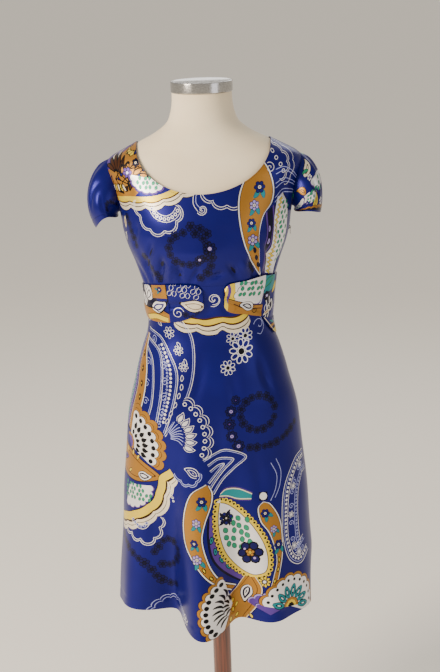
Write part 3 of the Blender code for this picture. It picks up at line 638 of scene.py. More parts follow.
def sewn_piece(name, node, place, outline, drawing, material, spacing=0.006, held="hung", rests_on=(),
               slot="printed_satin", fullness=1.0):
    """A piece of cloth: its printed face, its plain reverse and the turned edge that joins them."""
    low, high = np.min(outline, axis=0) * 1000.0, np.max(outline, axis=0) * 1000.0
    shown = [(colour, points) for colour, points in drawing.patches
             if np.all(np.max(points, axis=0) > low) and np.all(np.min(points, axis=0) < high)]
    flat, triangles, tops = cut_cloth(outline, shown, spacing)
    points, normals = facing(place, flat[:, 0], flat[:, 1])
    loop = rim_of(triangles)
    back_flat, back_triangles, _ = cut_cloth(flat[loop], [], 2.0 * spacing)
    back_points, back_normals = facing(place, back_flat[:, 0], back_flat[:, 1])
    nearest = {tuple(np.round(p, 6)): index for index, p in enumerate(back_flat)}
    back_loop = [nearest[tuple(np.round(flat[index], 6))] + len(points) for index in loop]
    rims = []
    for a, b, back_a, back_b in zip(loop, np.roll(loop, -1), back_loop, np.roll(back_loop, -1)):
        rims += [(b, a, back_a), (b, back_a, back_b)]
    rims = np.array(rims)
    corners = np.concatenate([points, back_points - back_normals * CLOTH])
    faces = np.concatenate([triangles, back_triangles[:, ::-1] + len(points), rims])
    mesh = bpy.data.meshes.new(name)
    mesh.from_pydata(corners.tolist(), [], faces.tolist())
    colours = [linear(PRINT_COLOURS["royal" if top < 0 else shown[top][0]]) for top in tops]
    colours += [linear(PRINT_COLOURS["navy"])] * len(back_triangles)
    colours += [linear(PRINT_COLOURS["royal"])] * len(rims)
    dye = mesh.color_attributes.new("print", "FLOAT_COLOR", "CORNER")
    dye.data.foreach_set("color", np.repeat(np.array(colours), 3, axis=0).astype(np.float32).ravel())
    front_places = (flat - flat.min(0)) / np.ptp(flat, axis=0) * (0.70, 0.98) + (0.01, 0.01)
    back_places = (back_flat - flat.min(0)) / np.ptp(flat, axis=0) * (0.25, 0.98) + (0.73, 0.01)
    places = np.concatenate([front_places, back_places])[faces]
    places[-len(rims):] = front_places[rims[:, :1] % len(front_places)]
    mesh.uv_layers.new(name="OFBake").uv.foreach_set("vector", places.astype(np.float32).ravel())
    mesh.shade_smooth()
    corner_normals = np.concatenate([normals, -back_normals])[faces]
    a, b, c = (corners[rims[:, corner]] for corner in range(3))
    rim_normals = np.cross(b - a, c - a)
    rim_normals /= np.maximum(np.linalg.norm(rim_normals, axis=1, keepdims=True), 1e-12)
    corner_normals[-len(rims):] = rim_normals[:, None, :]
    mesh.normals_split_custom_set(corner_normals.reshape(-1, 3).tolist())
    piece = place_piece(name, mesh, material, node)


def angle_at(x, height):
    """The front angle at which the dress's section has this x."""
    low, high = 0.0, 180.0
    for _ in range(40):
        middle = 0.5 * (low + high)
        if float(section_point(DRESS, middle, height)[0]) > x:
            low = middle
        else:
            high = middle
    return 0.5 * (low + high)


def neck_edge(u, drop):
    swing = math.pi * u
    height = NECK_POINT - drop * math.sin(swing)
    half_width = float(table_value(DRESS, 1, np.array(NECK_POINT)))
    return angle_at(half_width * math.cos(swing) + NECK_SHIFT * math.sin(swing), height), height


def armhole_at(share, armhole_angle):
    """(angle, height) on the armhole seam, with share 0 at the underarm and 1 at the shoulder's tip."""
    swing = math.pi * share
    return (armhole_angle * np.sin(swing) ** (0.75 + 0.60 * share),
            UNDERARM + (SHOULDER_TIP - UNDERARM) * 0.5 * (1.0 - np.cos(swing)))


def inside_seams(angle):
    return SIDE_GAP_ANGLE + angle * (1.0 - 2.0 * SIDE_GAP_ANGLE / 180.0)


def bodice_outline(drop, armhole_angle, bottom_height, mirrored):
    """The panel's edge as (angle, height): seam, side, armhole, shoulder, neck and back down."""
    side = [(0.0, WAIST_SIDE + (UNDERARM - WAIST_SIDE) * t) for t in np.linspace(0, 1, 24)]
    side += [armhole_at(t, armhole_angle) for t in np.linspace(0, 1, 40)[1:]]
    side += [(0.0, SHOULDER_TIP + (NECK_POINT - SHOULDER_TIP) * t) for t in np.linspace(0, 1, 10)[1:]]
    neck = [neck_edge(t, drop) for t in np.linspace(0, 1, 80)[1:-1]]
    other = [(180.0 - angle, height) for angle, height in reversed(side)]
    seam = [(180.0 - 180.0 * t, float(bottom_height(180.0 - 180.0 * t))) for t in np.linspace(0, 1, 70)[1:-1]]
    loop = side + neck + other + seam
    if mirrored:
        return [(360.0 - inside_seams(angle), height) for angle, height in reversed(loop)]
    return [(inside_seams(angle), height) for angle, height in loop]


def cloth_outline(loop, centre):
    angles, heights = np.array(loop).T
    return np.stack([across_of(angles, heights, centre), heights], 1)


FRONT_BODICE_EDGE = bodice_outline(FRONT_NECK_DROP, ARMHOLE_FRONT_ANGLE,
                                   lambda angle: waist_seam(angle) + 0.5 * SEAM_GAP, False)


def front_bodice_place(across, height):
    angle = angle_of(across, height, 90.0)
    lift = -gather_depth(angle, height) - crease_depth(BODICE_CREASES, across, height)
    lift = lift - seam_roll(height - waist_seam(angle))
    return dress_point(angle, height, lift)


# The print's motifs, in millimetres on the cloth. Each is built from its own sizes by a formula.
def smooth_path(points, count):
    """A smooth path through a few places."""
    points = np.asarray(points, float)
    ends = np.concatenate([[2 * points[0] - points[1]], points, [2 * points[-1] - points[-2]]])
    places = np.linspace(0, len(points) - 1, count)
    low = np.minimum(places.astype(int), len(points) - 2)
    t = (places - low)[:, None]
    a, b, c, d = ends[low], ends[low + 1], ends[low + 2], ends[low + 3]
    return 0.5 * (2 * b + (c - a) * t + (2 * a - 5 * b + 4 * c - d) * t ** 2
                  + (3 * b - 3 * c + d - a) * t ** 3)


def placed(points, x, y, turn):
    return np.asarray(points) @ rotation(turn).T + (x, y)


def ring_of(there, back):
    return np.concatenate([there, back[::-1]])


def layers_of(text):
    """Layers are written "ink, tan 1.2": colours and how far in from the edge each one starts."""
    layers = [layer.split() for layer in text.split(",")]
    return [(layer[0], float(layer[1]) if len(layer) > 1 else 0.0) for layer in layers]


def swelling(drawing, spine, half_widths, layers):
    """A body of changing width along a spine."""
    for colour, inset in layers_of(layers):
        half = np.asarray(half_widths, float) - inset
        inside = np.nonzero(half > 0.05)[0]
        if len(inside) < 3:
            continue
        part = slice(inside[0], inside[-1] + 1)
        side = side_of(spine)[part] * np.maximum(half[part], 0.06)[:, None]
        drawing.patch(colour, ring_of(spine[part] + side, spine[part] - side))


def bent_spine(x, y, length, turn, bend, count):
    """A spine that leaves (x, y) at this turn and bows to one side by bend times its length."""
    t = np.linspace(0.0, 1.0, count)
    return placed(np.stack([length * t, 4.0 * bend * length * t * (1.0 - t)], 1), x, y, turn)


def leaf(drawing, x, y, length, width, turn, layers, bend=0.0):
    """A leaf with two pointed ends."""
    t = np.linspace(0.0, 1.0, 11)
    swelling(drawing, bent_spine(x, y, length, turn, bend, 11), 0.5 * width * np.sin(math.pi * t), layers)


def leaves(drawing, places, length, width, layers, bend):
    """The same leaf at each (x, y, turn)."""
    for x, y, turn in places:
        leaf(drawing, x, y, length, width, turn, layers, bend)


def drop(drawing, x, y, length, width, turn, layers, bend):
    """A paisley drop: a pointed, bent tip at (x, y) and a round belly."""
    t = np.linspace(0.0, 1.0, 17) ** 0.85
    half = 0.5 * width * np.sin(math.pi * t ** 1.7) ** 0.75
    swelling(drawing, bent_spine(x, y, length, turn, bend, 17), half, layers)


def flower(drawing, x, y, size, petals, turn, line, petal, heart, eye=None):
    """Round petals about a round heart, all outlined."""
    petal_radius = size * min(0.42, 2.3 / petals)
    outline = max(0.7, 0.11 * size)
    for number in range(petals):
        angle = math.radians(turn + 360.0 * number / petals)
        px, py = x + (size - petal_radius) * math.cos(angle), y + (size - petal_radius) * math.sin(angle)
        drawing.disc(line, px, py, petal_radius, 8, 1.0, turn)
        drawing.disc(petal, px, py, petal_radius - outline, 8, 1.0, turn)
    drawing.disc(line, x, y, 0.40 * size, 8)
    drawing.disc(heart, x, y, 0.40 * size - outline, 8)
    if eye:
        drawing.disc(eye, x, y, 0.14 * size, 6)


def flower_chain(drawing, path, sizes):
    """Dark flowers strung along a path, each touching the next."""
    at, number = 0.0, 0
    while at < lengths_along(path)[-1]:
        size = sizes[number % len(sizes)]
        flower(drawing, *point_along(path, at), size, 6, 17.0 * number, "ink", "dusk", "navy")
        at += size * 1.7
        number += 1


def dark_trail(drawing, points, count, sizes):
    flower_chain(drawing, smooth_path(points, count), sizes)


def bead_row(drawing, path, radius, spacing, colour, eye=None):
    """Round beads along a path, open ones if they have an eye."""
    for at in np.arange(0.5 * spacing, lengths_along(path)[-1], spacing):
        x, y = point_along(path, at)
        drawing.disc(colour, x, y, radius, 8)
        if eye:
            drawing.disc(eye, x, y, 0.52 * radius, 6)


def curl(drawing, colour, x, y, radius, first, turns, width=1.2):
    """A spiral line: from its outer end at the angle first, winding in by so many turns."""
    t = np.linspace(0.0, 1.0, max(10, int(abs(turns) * 18)))
    swing = np.radians(first) + 2.0 * math.pi * turns * t
    reach = radius * (1.0 - 0.86 * t)
    drawing.line(colour, np.stack([x + reach * np.cos(swing), y + reach * np.sin(swing)], 1), width)


def side_path(path, offset):
    return path + side_of(path) * np.broadcast_to(offset, len(path))[:, None]


def scallop(path, bumps, depth):
    """The offset of a scalloped edge at each point of a path."""
    steps = lengths_along(path)
    return depth * np.abs(np.sin(math.pi * bumps * steps / steps[-1])) ** 0.6


def scalloped_band(drawing, points, bumps, depth, layers):
    """A band on the left of a path with a scalloped outer edge. Its layers give their reach, outer first."""
    path = smooth_path(points, 12 * bumps + 1)
    bump = scallop(path, bumps, depth)
    reaches = layers_of(layers)
    for colour, reach in reaches:
        outer = side_path(path, reach + bump * min(1.0, reach / reaches[0][1] + 0.1))
        drawing.strip(colour, path, outer)


def scalloped_line(drawing, colour, points, bumps, depth, offsets, width=1.2):
    """Parallel scalloped lines along a path."""
    path = smooth_path(points, 10 * bumps + 1)
    bump = scallop(path, bumps, depth)
    for offset in offsets:
        drawing.line(colour, side_path(path, bump + offset), width)


def fan(drawing, x, y, radius, first, last, bumps, layers, squash=1.0):
    """A shell-like fan round (x, y) with a scalloped rim."""
    turns = np.radians(np.linspace(first, last, 8 * bumps + 1))
    bump = 0.08 * radius * np.abs(np.sin(bumps * math.pi * np.linspace(0, 1, len(turns)))) ** 0.6
    for colour, inset in layers_of(layers):
        reach = radius * 0.94 + bump - inset
        rim = np.stack([x + reach * np.cos(turns), y + squash * reach * np.sin(turns)], 1)
        drawing.patch(colour, [(x, y), *rim])


def sprayed(x, y, reach, first, last, count, squash=1.0):
    """Places spread round (x, y), each with its turn."""
    for turn in np.linspace(first, last, count):
        c, s = math.cos(math.radians(turn)), math.sin(math.radians(turn))
        yield x + reach * c, y + squash * reach * s, turn


def fan_beads(drawing, x, y, radius, first, last, count, size, colour, squash=1.0):
    for px, py, _ in sprayed(x, y, radius, first, last, count, squash):
        drawing.disc(colour, px, py, size, 8)


def leaf_field(drawing, x, y, wide, high, turn, rows, columns, length, shape=None, colours=("ink", "green")):
    """Small outlined leaves in staggered rows."""
    line, fill = colours
    for row in range(rows):
        for column in range(columns):
            u = (column + 0.5 * (row % 2) + 0.25) / columns - 0.5
            v = (row + 0.5) / rows - 0.5
            if shape is None or shape(u, v):
                middle = placed([(u * wide, v * high)], x, y, turn)[0]
                leaf(drawing, *middle, length, 0.62 * length, turn + 60.0 + 25.0 * ((row + column) % 2),
                     f"{line}, {fill} {0.06 * length}")


def small_drop(drawing, x, y, length, turn, layers, bend=0.12):
    drop(drawing, x, y, length, 0.56 * length, turn, layers, bend)


def tan_flowers(drawing, places, size):
    """Blue and white flowers with a pair of teal leaves, as they lie on the tan bodies."""
    for number, (x, y, turn) in enumerate(places):
        scale = size * (1.0 - 0.10 * (number % 3))
        for spread in (-28.0, 28.0):
            leaf(drawing, x, y, 2.1 * scale, 0.85 * scale, turn + spread, "navy, teal 0.7", 0.1)
        flower(drawing, x, y, scale, 6, 29 * number, "navy", "lilac" if number % 2 else "royal", "cream",
               "purple")


def open_flower(drawing, x, y, size, petals, turn, line, fill, heart):
    """A drawn flower of long outlined petals about an outlined heart."""
    wide = min(0.26, 0.66 * math.tan(math.pi / petals)) * size
    outline = max(0.9, 0.075 * size)
    for number in range(petals):
        angle = turn + 360.0 * number / petals
        px, py = placed([(0.66 * size, 0.0)], x, y, angle)[0]
        for colour, inset in ((line, 0.0), (fill, outline)):
            drawing.disc(colour, px, py, 0.34 * size - inset, 12, (wide - inset) / (0.34 * size - inset),
                         angle)
    drawing.disc(line, x, y, 0.33 * size, 12)
    drawing.disc(heart, x, y, 0.33 * size - outline, 10)


def body_between(drawing, left, right, layers):
    """A long body between two smooth edges."""
    left, right = smooth_path(left, 60), smooth_path(right, 60)
    spine = 0.5 * (left + right)
    half = 0.5 * np.linalg.norm(left - right, axis=1)
    ways = (left - right) / np.maximum(2.0 * half, 1e-6)[:, None]
    for colour, inset in layers_of(layers):
        reach = np.maximum(half - inset, 0.0)
        kept = np.nonzero(reach > 0.2)[0]
        part = slice(kept[0], kept[-1] + 1)
        side = ways[part] * reach[part][:, None]
        drawing.patch(colour, ring_of(spine[part] + side, spine[part] - side))


d = FRONT_BODICE_PRINT = Drawing()
# A tan shoulder crowded with dark leaf sprays and flowers, over a shell of green leaves.
d.patch("tan", [(-215, 1252), (-150, 1245), (-128, 1268), (-98, 1290), (-112, 1320), (-118, 1358),
                (-215, 1358)])
d.patch("purple", [(-215, 1300), (-176, 1312), (-168, 1334), (-160, 1358), (-215, 1358)])
small_drop(d, -162, 1322, 40, 140, "ink, cream 1.5, navy 4.4, lilac 7")
for x, y, turn in ((-170, 1262, 62), (-164, 1262, 84), (-158, 1262, 104), (-176, 1264, 42), (-150, 1266, 74),
                   (-146, 1268, 50), (-184, 1266, 96)):
    leaf(d, x, y, 34, 9.0, turn, "ink, brown 2.2" if turn % 4 else "ink, tan 2.2", 0.12)
for turn in range(20, 170, 24):
    leaf(d, -138, 1284, 44, 12.0, turn, "ink, tan 2.2" if turn % 48 else "ink, purple 2.2", 0.16)
    leaf(d, -172, 1300, 40, 11.0, turn, "ink, brown 2.2" if turn % 48 else "ink, tan 2.2", -0.16)
for number in range(6):
    leaf(d, -152 + 4 * number, 1332 + 2.4 * number, 19, 7.0, 100 + 24 * number, "ink, yellow 1.2", 0.1)
    leaf(d, -196 + 9 * number, 1262 + 1.2 * number, 20, 7.0, 74 + 9 * number,
         "ink, cream 1.3" if number % 2 else "ink, yellow 1.3", 0.08)
flower(d, -146, 1304, 11, 6, 10, "ink", "purple", "lilac", "cream")
flower(d, -128, 1322, 8, 6, 30, "ink", "navy", "cream", "ink")
for x, y, size in ((-133, 1338, 4.0), (-160, 1300, 4.4), (-136, 1288, 3.8), (-122, 1300, 4.2),
                   (-112, 1310, 3.4), (-168, 1292, 3.6), (-126, 1348, 3.6), (-116, 1296, 3.0)):
    d.disc("ink", x, y, size, 8)
    d.disc("royal", x, y, 0.5 * size, 6)
for points in ([(-168, 1268), (-160, 1285), (-146, 1296), (-124, 1302)],
               [(-150, 1318), (-138, 1312), (-120, 1316)], [(-178, 1290), (-160, 1310), (-156, 1330)]):
    d.curve("ink", points, 12, 1.8)
fan(d, -104, 1296, 40, 168, 352, 7, "ink, purple 1.2, ink 4, white 5", 0.74)
leaf_field(d, -104, 1283, 58, 24, 0, 3, 6, 10.0, lambda u, v: (2.0 * u) ** 2 + (1.2 * v - 0.3) ** 2 < 0.85)
scalloped_band(d, [(-16, 1296), (-50, 1281), (-82, 1268), (-112, 1263), (-142, 1262), (-185, 1258)], 5, 7.0,
               "ink 19.4, cream 18.2, ink 13.4, cream 12.2, brown 8.8, yellow 7")
# White scallops below it, round an arc of rings.
scalloped_line(d, "white", [(-136, 1256), (-130, 1234), (-112, 1208), (-88, 1201), (-64, 1209), (-50, 1228),
                            (-50, 1250)][::-1], 5, 8.0, (0.0, -3.8), 1.25)
arc = smooth_path([(-102, 1246), (-92, 1231), (-74, 1225), (-58, 1231), (-49, 1243)], 24)
bead_row(d, arc, 3.4, 7.8, "white", "royal")
d.line("white", side_path(arc, 5.6), 1.1)
d.line("white", side_path(arc, -5.6), 1.1)
# A pale curl and two scalloped lines from the neckline.
d.curve("white", [(-20, 1274), (-22, 1252), (-14, 1238)], 14, 1.2)
d.curve("pale_line", [(-15, 1274), (-17, 1254), (-9, 1243)], 14, 1.2)
curl(d, "white", -6, 1241, 10.5, 210, 1.25, 1.3)
curl(d, "white", -6, 1241, 7.0, 210, 1.0, 1.1)
scalloped_line(d, "white", [(66, 1250), (38, 1249), (12, 1258), (-4, 1276)], 3, 7.0, (0.0, 4.4), 1.2)
# A dark ring of flowers that trails down, one with a lilac heart.
ring_turns = np.radians(np.linspace(66, -268, 60))
flower_chain(d, np.stack([-35 + 36 * np.cos(ring_turns), 1171 + 31 * np.sin(ring_turns)], 1),
             (9.4, 8.0, 8.8, 7.6))
dark_trail(d, [(-28, 1212), (-8, 1206), (6, 1192)], 12, (10.0, 9.0))
dark_trail(d, [(8, 1154), (6, 1137), (-4, 1120), (-24, 1108)], 20, (10.0, 8.6))
flower(d, 5, 1171, 13, 8, 0, "ink", "dusk", "lilac")
flower(d, -14, 1150, 9.5, 7, 0, "ink", "dusk", "lilac")
dark_trail(d, [(-166, 1222), (-154, 1186), (-144, 1160)], 20, (7.5, 8.5))
dark_trail(d, [(-130, 1150), (-116, 1130), (-100, 1112), (-92, 1098)], 20, (8.5, 7.5))
leaf(d, -178, 1196, 30, 11, 80, "ink, cream 1.3, tan 3.4", 0.1)
leaf(d, -188, 1170, 26, 9, 70, "ink, white 1.3, navy 3", 0.1)
# The zigzag strip and the long tan drop on the wearer's left, with flowers down its middle.
body_between(d, [(112, 1226), (116, 1190), (112, 1150), (108, 1100)],
             [(134, 1240), (136, 1212), (131, 1176), (121, 1104)], "ink, purple 1.6, navy 6")
leaves(d, ((122, 1206, 268), (122, 1182, 262), (120, 1158, 262)), 18, 7, "ink, lilac 1.2, purple 2.6", 0.1)
body_between(d, [(140, 1252), (136, 1224), (134, 1190), (130, 1150), (121, 1108)],
             [(156, 1258), (176, 1226), (180, 1193), (172, 1155), (148, 1100)], "ink -1.2, white")
strip = smooth_path([(150, 1250), (144, 1215), (142, 1176), (138, 1140), (128, 1106)], 33)
zigzag = side_path(strip, 3.4 * (-1.0) ** np.arange(33))
d.line("ink", zigzag, 6.4)
d.line("yellow", zigzag, 4.0)
leaf_field(d, 160, 1180, 26, 120, -4, 13, 2, 10.5)
body_between(d, [(88, 1322), (74, 1294), (62, 1265), (59, 1236), (63, 1200), (73, 1162), (94, 1123),
                 (103, 1106)], [(108, 1322), (122, 1300), (131, 1269), (127, 1244), (110, 1224), (101, 1196),
                                (100, 1168), (105, 1106)], "ink -1.2, white, ink 2.6, tan 3.8")
tan_flowers(d, ((101, 1274, 262), (90, 1243, 268), (84, 1212, 268), (86, 1181, 276)), 11.5)
leaves(d, ((88, 1168, 282), (92, 1152, 286), (97, 1136, 290)), 15, 7, "ink, navy 1.2", 0.05)
# Pale lines on the wearer's left shoulder.
scalloped_line(d, "white", [(126, 1352), (144, 1336), (156, 1318), (154, 1298), (142, 1284)], 5, 5.0,
               (0.0, 4.0, 16.0), 1.15)
for x, y in ((136, 1322), (144, 1310), (131, 1334), (150, 1298), (120, 1340)):
    d.disc("white", x, y, 4.0, 10)
    d.disc("royal", x, y, 2.6, 8)
curl(d, "white", 122, 1306, 10, 120, -1.4)
for lift in (0.0, 4.0, 12.0, 16.0, 24.0, 28.0):
    d.curve("pale_line", [(134, 1302 - 2.1 * lift), (152, 1305 - 1.7 * lift), (172, 1296 - 1.4 * lift),
                          (194, 1280 - lift)], 18, 1.2)
# The neckline's edge stitching.
neck_stitches = [neck_edge(t, FRONT_NECK_DROP + 0.004) for t in np.linspace(0.02, 0.98, 80)]
d.stitches("navy", cloth_outline(neck_stitches, 90.0) * 1000.0)

BODICE_CREASES = (
    # across, height, half_length, half_width, depth, turn, bend
    (-0.092, 1.128, 0.036, 0.0060, 0.0068, 74.0, 0.004),
    (-0.072, 1.126, 0.032, 0.0055, -0.0036, 80.0, 0.003),
    (-0.052, 1.120, 0.030, 0.0055, 0.0056, 96.0, -0.003),
    (-0.024, 1.118, 0.028, 0.0055, 0.0046, 60.0, 0.003),
    (0.012, 1.114, 0.032, 0.0060, 0.0044, 24.0, -0.003),
    (0.048, 1.122, 0.030, 0.0055, 0.0056, 120.0, 0.003),
    (0.068, 1.128, 0.030, 0.0057, -0.0030, 112.0, 0.003),
    (0.086, 1.130, 0.036, 0.0060, 0.0068, 104.0, -0.004),
    (-0.120, 1.150, 0.048, 0.0070, 0.0058, 62.0, 0.005),
    (-0.146, 1.190, 0.036, 0.0069, 0.0033, 66.0, 0.004),
    (0.124, 1.150, 0.050, 0.0070, 0.0060, -64.0, -0.005),
    (0.150, 1.192, 0.036, 0.0069, 0.0036, -66.0, -0.004),
    (-0.155, 1.258, 0.032, 0.0069, 0.0027, 38.0, 0.003),
    (0.158, 1.256, 0.032, 0.0069, 0.0027, -38.0, -0.003),
    (-0.020, 1.160, 0.070, 0.0126, -0.0027, 6.0, 0.006),
    (0.030, 1.200, 0.060, 0.0138, 0.0018, -8.0, 0.006),
)
satin = printed_satin("printed_satin")
sewn_piece("front_bodice", "bodice_front", front_bodice_place, cloth_outline(FRONT_BODICE_EDGE, 90.0),
           FRONT_BODICE_PRINT, satin, rests_on=("form_body",))

# ================================================================ the back bodice
# Cut on the fold from the same printed satin, with a shallow scoop neck. It is plain, with slight gathers
# at the seam, and is sewn to the front at the sides and shoulders.
BACK_CREASES = (
    # across, height, half_length, half_width, depth, turn, bend
    (-0.050, 1.110, 0.045, 0.0072, 0.0020, 60.0, 0.003),
    (0.055, 1.112, 0.045, 0.0072, 0.0020, -62.0, -0.003),
    (0.000, 1.150, 0.070, 0.0120, -0.0020, 4.0, 0.004),
    (-0.115, 1.195, 0.040, 0.0084, 0.0028, 48.0, 0.004),
    (0.118, 1.190, 0.040, 0.0084, 0.0028, -46.0, -0.004),
    (0.010, 1.095, 0.050, 0.0060, 0.0018, 2.0, 0.002),
)
BACK_BODICE_EDGE = bodice_outline(BACK_NECK_DROP, ARMHOLE_BACK_ANGLE,
                                  lambda angle: WAIST_SIDE + 0.5 * SEAM_GAP, True)


def back_bodice_place(across, height):
    angle = angle_of(across, height, 270.0)
    lift = -gather_depth(angle, height) - crease_depth(BACK_CREASES, across, height)
    return dress_point(angle, height, lift - seam_roll(height - WAIST_SIDE))


# Another part of the print's repeat falls on the back.
d = BACK_BODICE_PRINT = Drawing()
d.moved(FRONT_BODICE_PRINT, -12.0, -14.0, mirrored=True)
scalloped_line(d, "pale_line", [(70, 1306), (40, 1292), (5, 1288), (-30, 1296)], 4, 5.0, (0.0, 3.6))
curl(d, "pale_line", 10, 1268, 12, 40, -1.5)
flower(d, -14, 1284, 8, 6, 5, "pale_line", "royal", "royal")
sewn_piece("back_bodice", "bodice_back", back_bodice_place, cloth_outline(BACK_BODICE_EDGE, 270.0),
           BACK_BODICE_PRINT, satin, rests_on=("form_body", "bodice_front"))

# ================================================================ the sleeves
# Short puffed cap sleeves, each one piece of the same satin. The head is gathered into the armhole, and
# the narrow hem is turned up 9 mm and stitched.
SLEEVE_HEM_HALF_DEPTH = 0.056
SLEEVE_INNER_HEM = (0.1660, 1.2125)
SLEEVE_SIDE_HEM_HEIGHT = 1.2190
SLEEVE_GATHERS = 9
SLEEVE_GATHER_DEPTH = 0.0030
SLEEVE_GIRTH = 0.300
SLEEVE_LENGTH = 0.095
SLEEVE_HEM_DEPTH = 0.009
CAP_SHARE = 0.75              # the cut tapers under the arm: its share of its rectangle
SLEEVE_CREASES = (
    # across, along, half_length, half_width, depth, turn, bend
    (-0.045, 0.050, 0.034, 0.0055, 0.0029, 82.0, 0.004),
    (-0.018, 0.056, 0.036, 0.0060, 0.0033, 96.0, -0.004),
    (0.020, 0.052, 0.038, 0.0060, 0.0035, 84.0, 0.004),
    (0.048, 0.054, 0.034, 0.0055, 0.0031, 98.0, -0.003),
    (0.078, 0.060, 0.030, 0.0055, 0.0022, 70.0, 0.003),
    (-0.076, 0.060, 0.030, 0.0055, 0.0022, 110.0, -0.003),
)


def armhole_point(turn, side):
    """Points of the armhole seam, with turn 0 at the underarm, 0.25 in front and 0.5 at the tip."""
    front = turn <= 0.5
    share = np.clip(2.0 * np.where(front, turn, 1.0 - turn), 0.0, 1.0)
    angle, height = armhole_at(share, np.where(front, ARMHOLE_FRONT_ANGLE, -ARMHOLE_BACK_ANGLE))
    point = dress_point(angle, height, 0.0 * height)
    middle = dress_point(np.zeros(1), np.array([0.5 * (UNDERARM + SHOULDER_TIP)]), np.zeros(1))
    inwards = middle - point
    inwards /= np.linalg.norm(inwards, axis=1, keepdims=True)
    return (point + inwards * SEAM_GAP * 1.6 + (0.0004, 0.0, 0.0)) * (side, 1.0, 1.0)


def sleeve_place(side, hem_reach, hem_height, puff_out, puff_up):
    """The sleeve over its flat piece: across from the middle of its head, and along from the armhole."""
    inner_x, inner_height = SLEEVE_INNER_HEM
    mean_height = 0.5 * (inner_height + hem_height)
    level = 0.5 * (mean_height + SLEEVE_SIDE_HEM_HEIGHT)
    side_rise = 0.5 * (mean_height - SLEEVE_SIDE_HEM_HEIGHT)

    def curve(across, down):
        turn = np.clip(0.5 - side * across / SLEEVE_GIRTH, 0.0, 1.0)
        along = (down / SLEEVE_LENGTH)[:, None]
        swing = 2.0 * math.pi * turn
        upper, sideways = 0.5 * (1.0 - np.cos(swing)), np.sin(swing)
        start = armhole_point(turn, side)
        end = np.stack([side * (inner_x + (hem_reach - inner_x) * upper), -SLEEVE_HEM_HALF_DEPTH * sideways,
                        level + 0.5 * (inner_height - hem_height) * np.cos(swing)
                        + side_rise * np.cos(2.0 * swing)], 1)
        near = start + np.stack([side * (0.0045 + 0.0290 * upper), -0.015 * sideways,
                                 -0.0005 - 0.0150 * upper], 1)
        far = end + np.stack([side * (0.0015 + puff_out * upper), -0.006 * sideways,
                              0.0035 + puff_up * upper], 1)
        back = 1.0 - along
        point = (start * back ** 3 + near * 3 * back ** 2 * along + far * 3 * back * along ** 2
                 + end * along ** 3)
        wave = 0.5 - 0.5 * np.cos(2.0 * math.pi * SLEEVE_GATHERS * turn)
        fade = smooth_step(along[:, 0] / 0.20) * smooth_step((1.0 - along[:, 0]) / 0.8) * upper ** 1.5
        out = point - (side * 0.165, 0.0, 1.262)
        out /= np.linalg.norm(out, axis=1, keepdims=True)
        from_hem = SLEEVE_LENGTH - down
        lift = (SLEEVE_GATHER_DEPTH * wave * fade - crease_depth(SLEEVE_CREASES, across, down)
                - 0.0005 * np.exp(-((from_hem - SLEEVE_HEM_DEPTH) / 0.0012) ** 2))
        return point + out * lift[:, None]
    return curve


def sleeve_outline():
    half = 0.5 * SLEEVE_GIRTH - 0.00005
    edge = np.linspace(-half, half, 90)
    level = np.linspace(0.0, SLEEVE_LENGTH, 24)[1:-1]
    low = np.stack([edge, np.zeros(90)], 1)
    high = np.stack([edge[::-1], np.full(90, SLEEVE_LENGTH)], 1)
    return np.concatenate([low, np.stack([np.full(22, half), level], 1), high,
                           np.stack([np.full(22, -half), level[::-1]], 1)])


d = LEFT_SLEEVE_PRINT = Drawing()
# The busy sleeve: green leaves on white, tan, yellow and teal shapes and dark flower heads.
for x, y, turn in ((-112, 52, 80), (-58, 40, 96), (28, 34, 84), (70, 48, 70), (118, 44, 98)):
    fan(d, x, y, 33, turn - 82, turn + 82, 6, "navy, purple 1.6, white 4.2", 0.9)
    leaf_field(d, x + 1, y + 11, 34, 24, 0, 3, 4, 9.0,
               lambda u, v: (2.0 * u) ** 2 + (1.6 * v - 0.2) ** 2 < 0.8)
for x, y, turn, colour in ((-132, 30, 60, "tan"), (-84, 62, 110, "yellow"), (-34, 66, 74, "teal"),
                           (0, 34, 100, "tan"), (48, 66, 60, "yellow"), (92, 20, 105, "tan"),
                           (138, 60, 80, "teal"), (-6, 76, 84, "yellow"), (24, 14, 20, "cream")):
    drop(d, x, y - 12, 40, 16, turn, f"ink, {colour} 1.2, navy 5.2, {colour} 6.6", 0.14)
for x, y, size in ((-98, 24, 8), (-20, 22, 7), (8, 62, 8), (52, 28, 7), (84, 72, 8), (-62, 74, 8),
                   (-124, 76, 7), (130, 24, 8), (34, 78, 7)):
    flower(d, x, y, size, 6, 3.0 * x, "ink", "royal" if size == 8 else "white", "lilac", "ink")
leaves(d, ((-106, 8, 200), (-44, 14, 160), (12, 8, 190), (60, 10, 150), (108, 8, 205), (-76, 26, 30),
           (-8, 50, 340), (74, 58, 200), (40, 50, 20), (-140, 60, 100)), 20, 7, "ink, green 0.9", 0.12)
scalloped_band(d, [(-152, 93), (-80, 92), (0, 93), (80, 92), (152, 93)][::-1], 15, 3.0,
               "ink 7.5, tan 6.6, ink 3.4, navy 2.6")
d = RIGHT_SLEEVE_PRINT = Drawing()
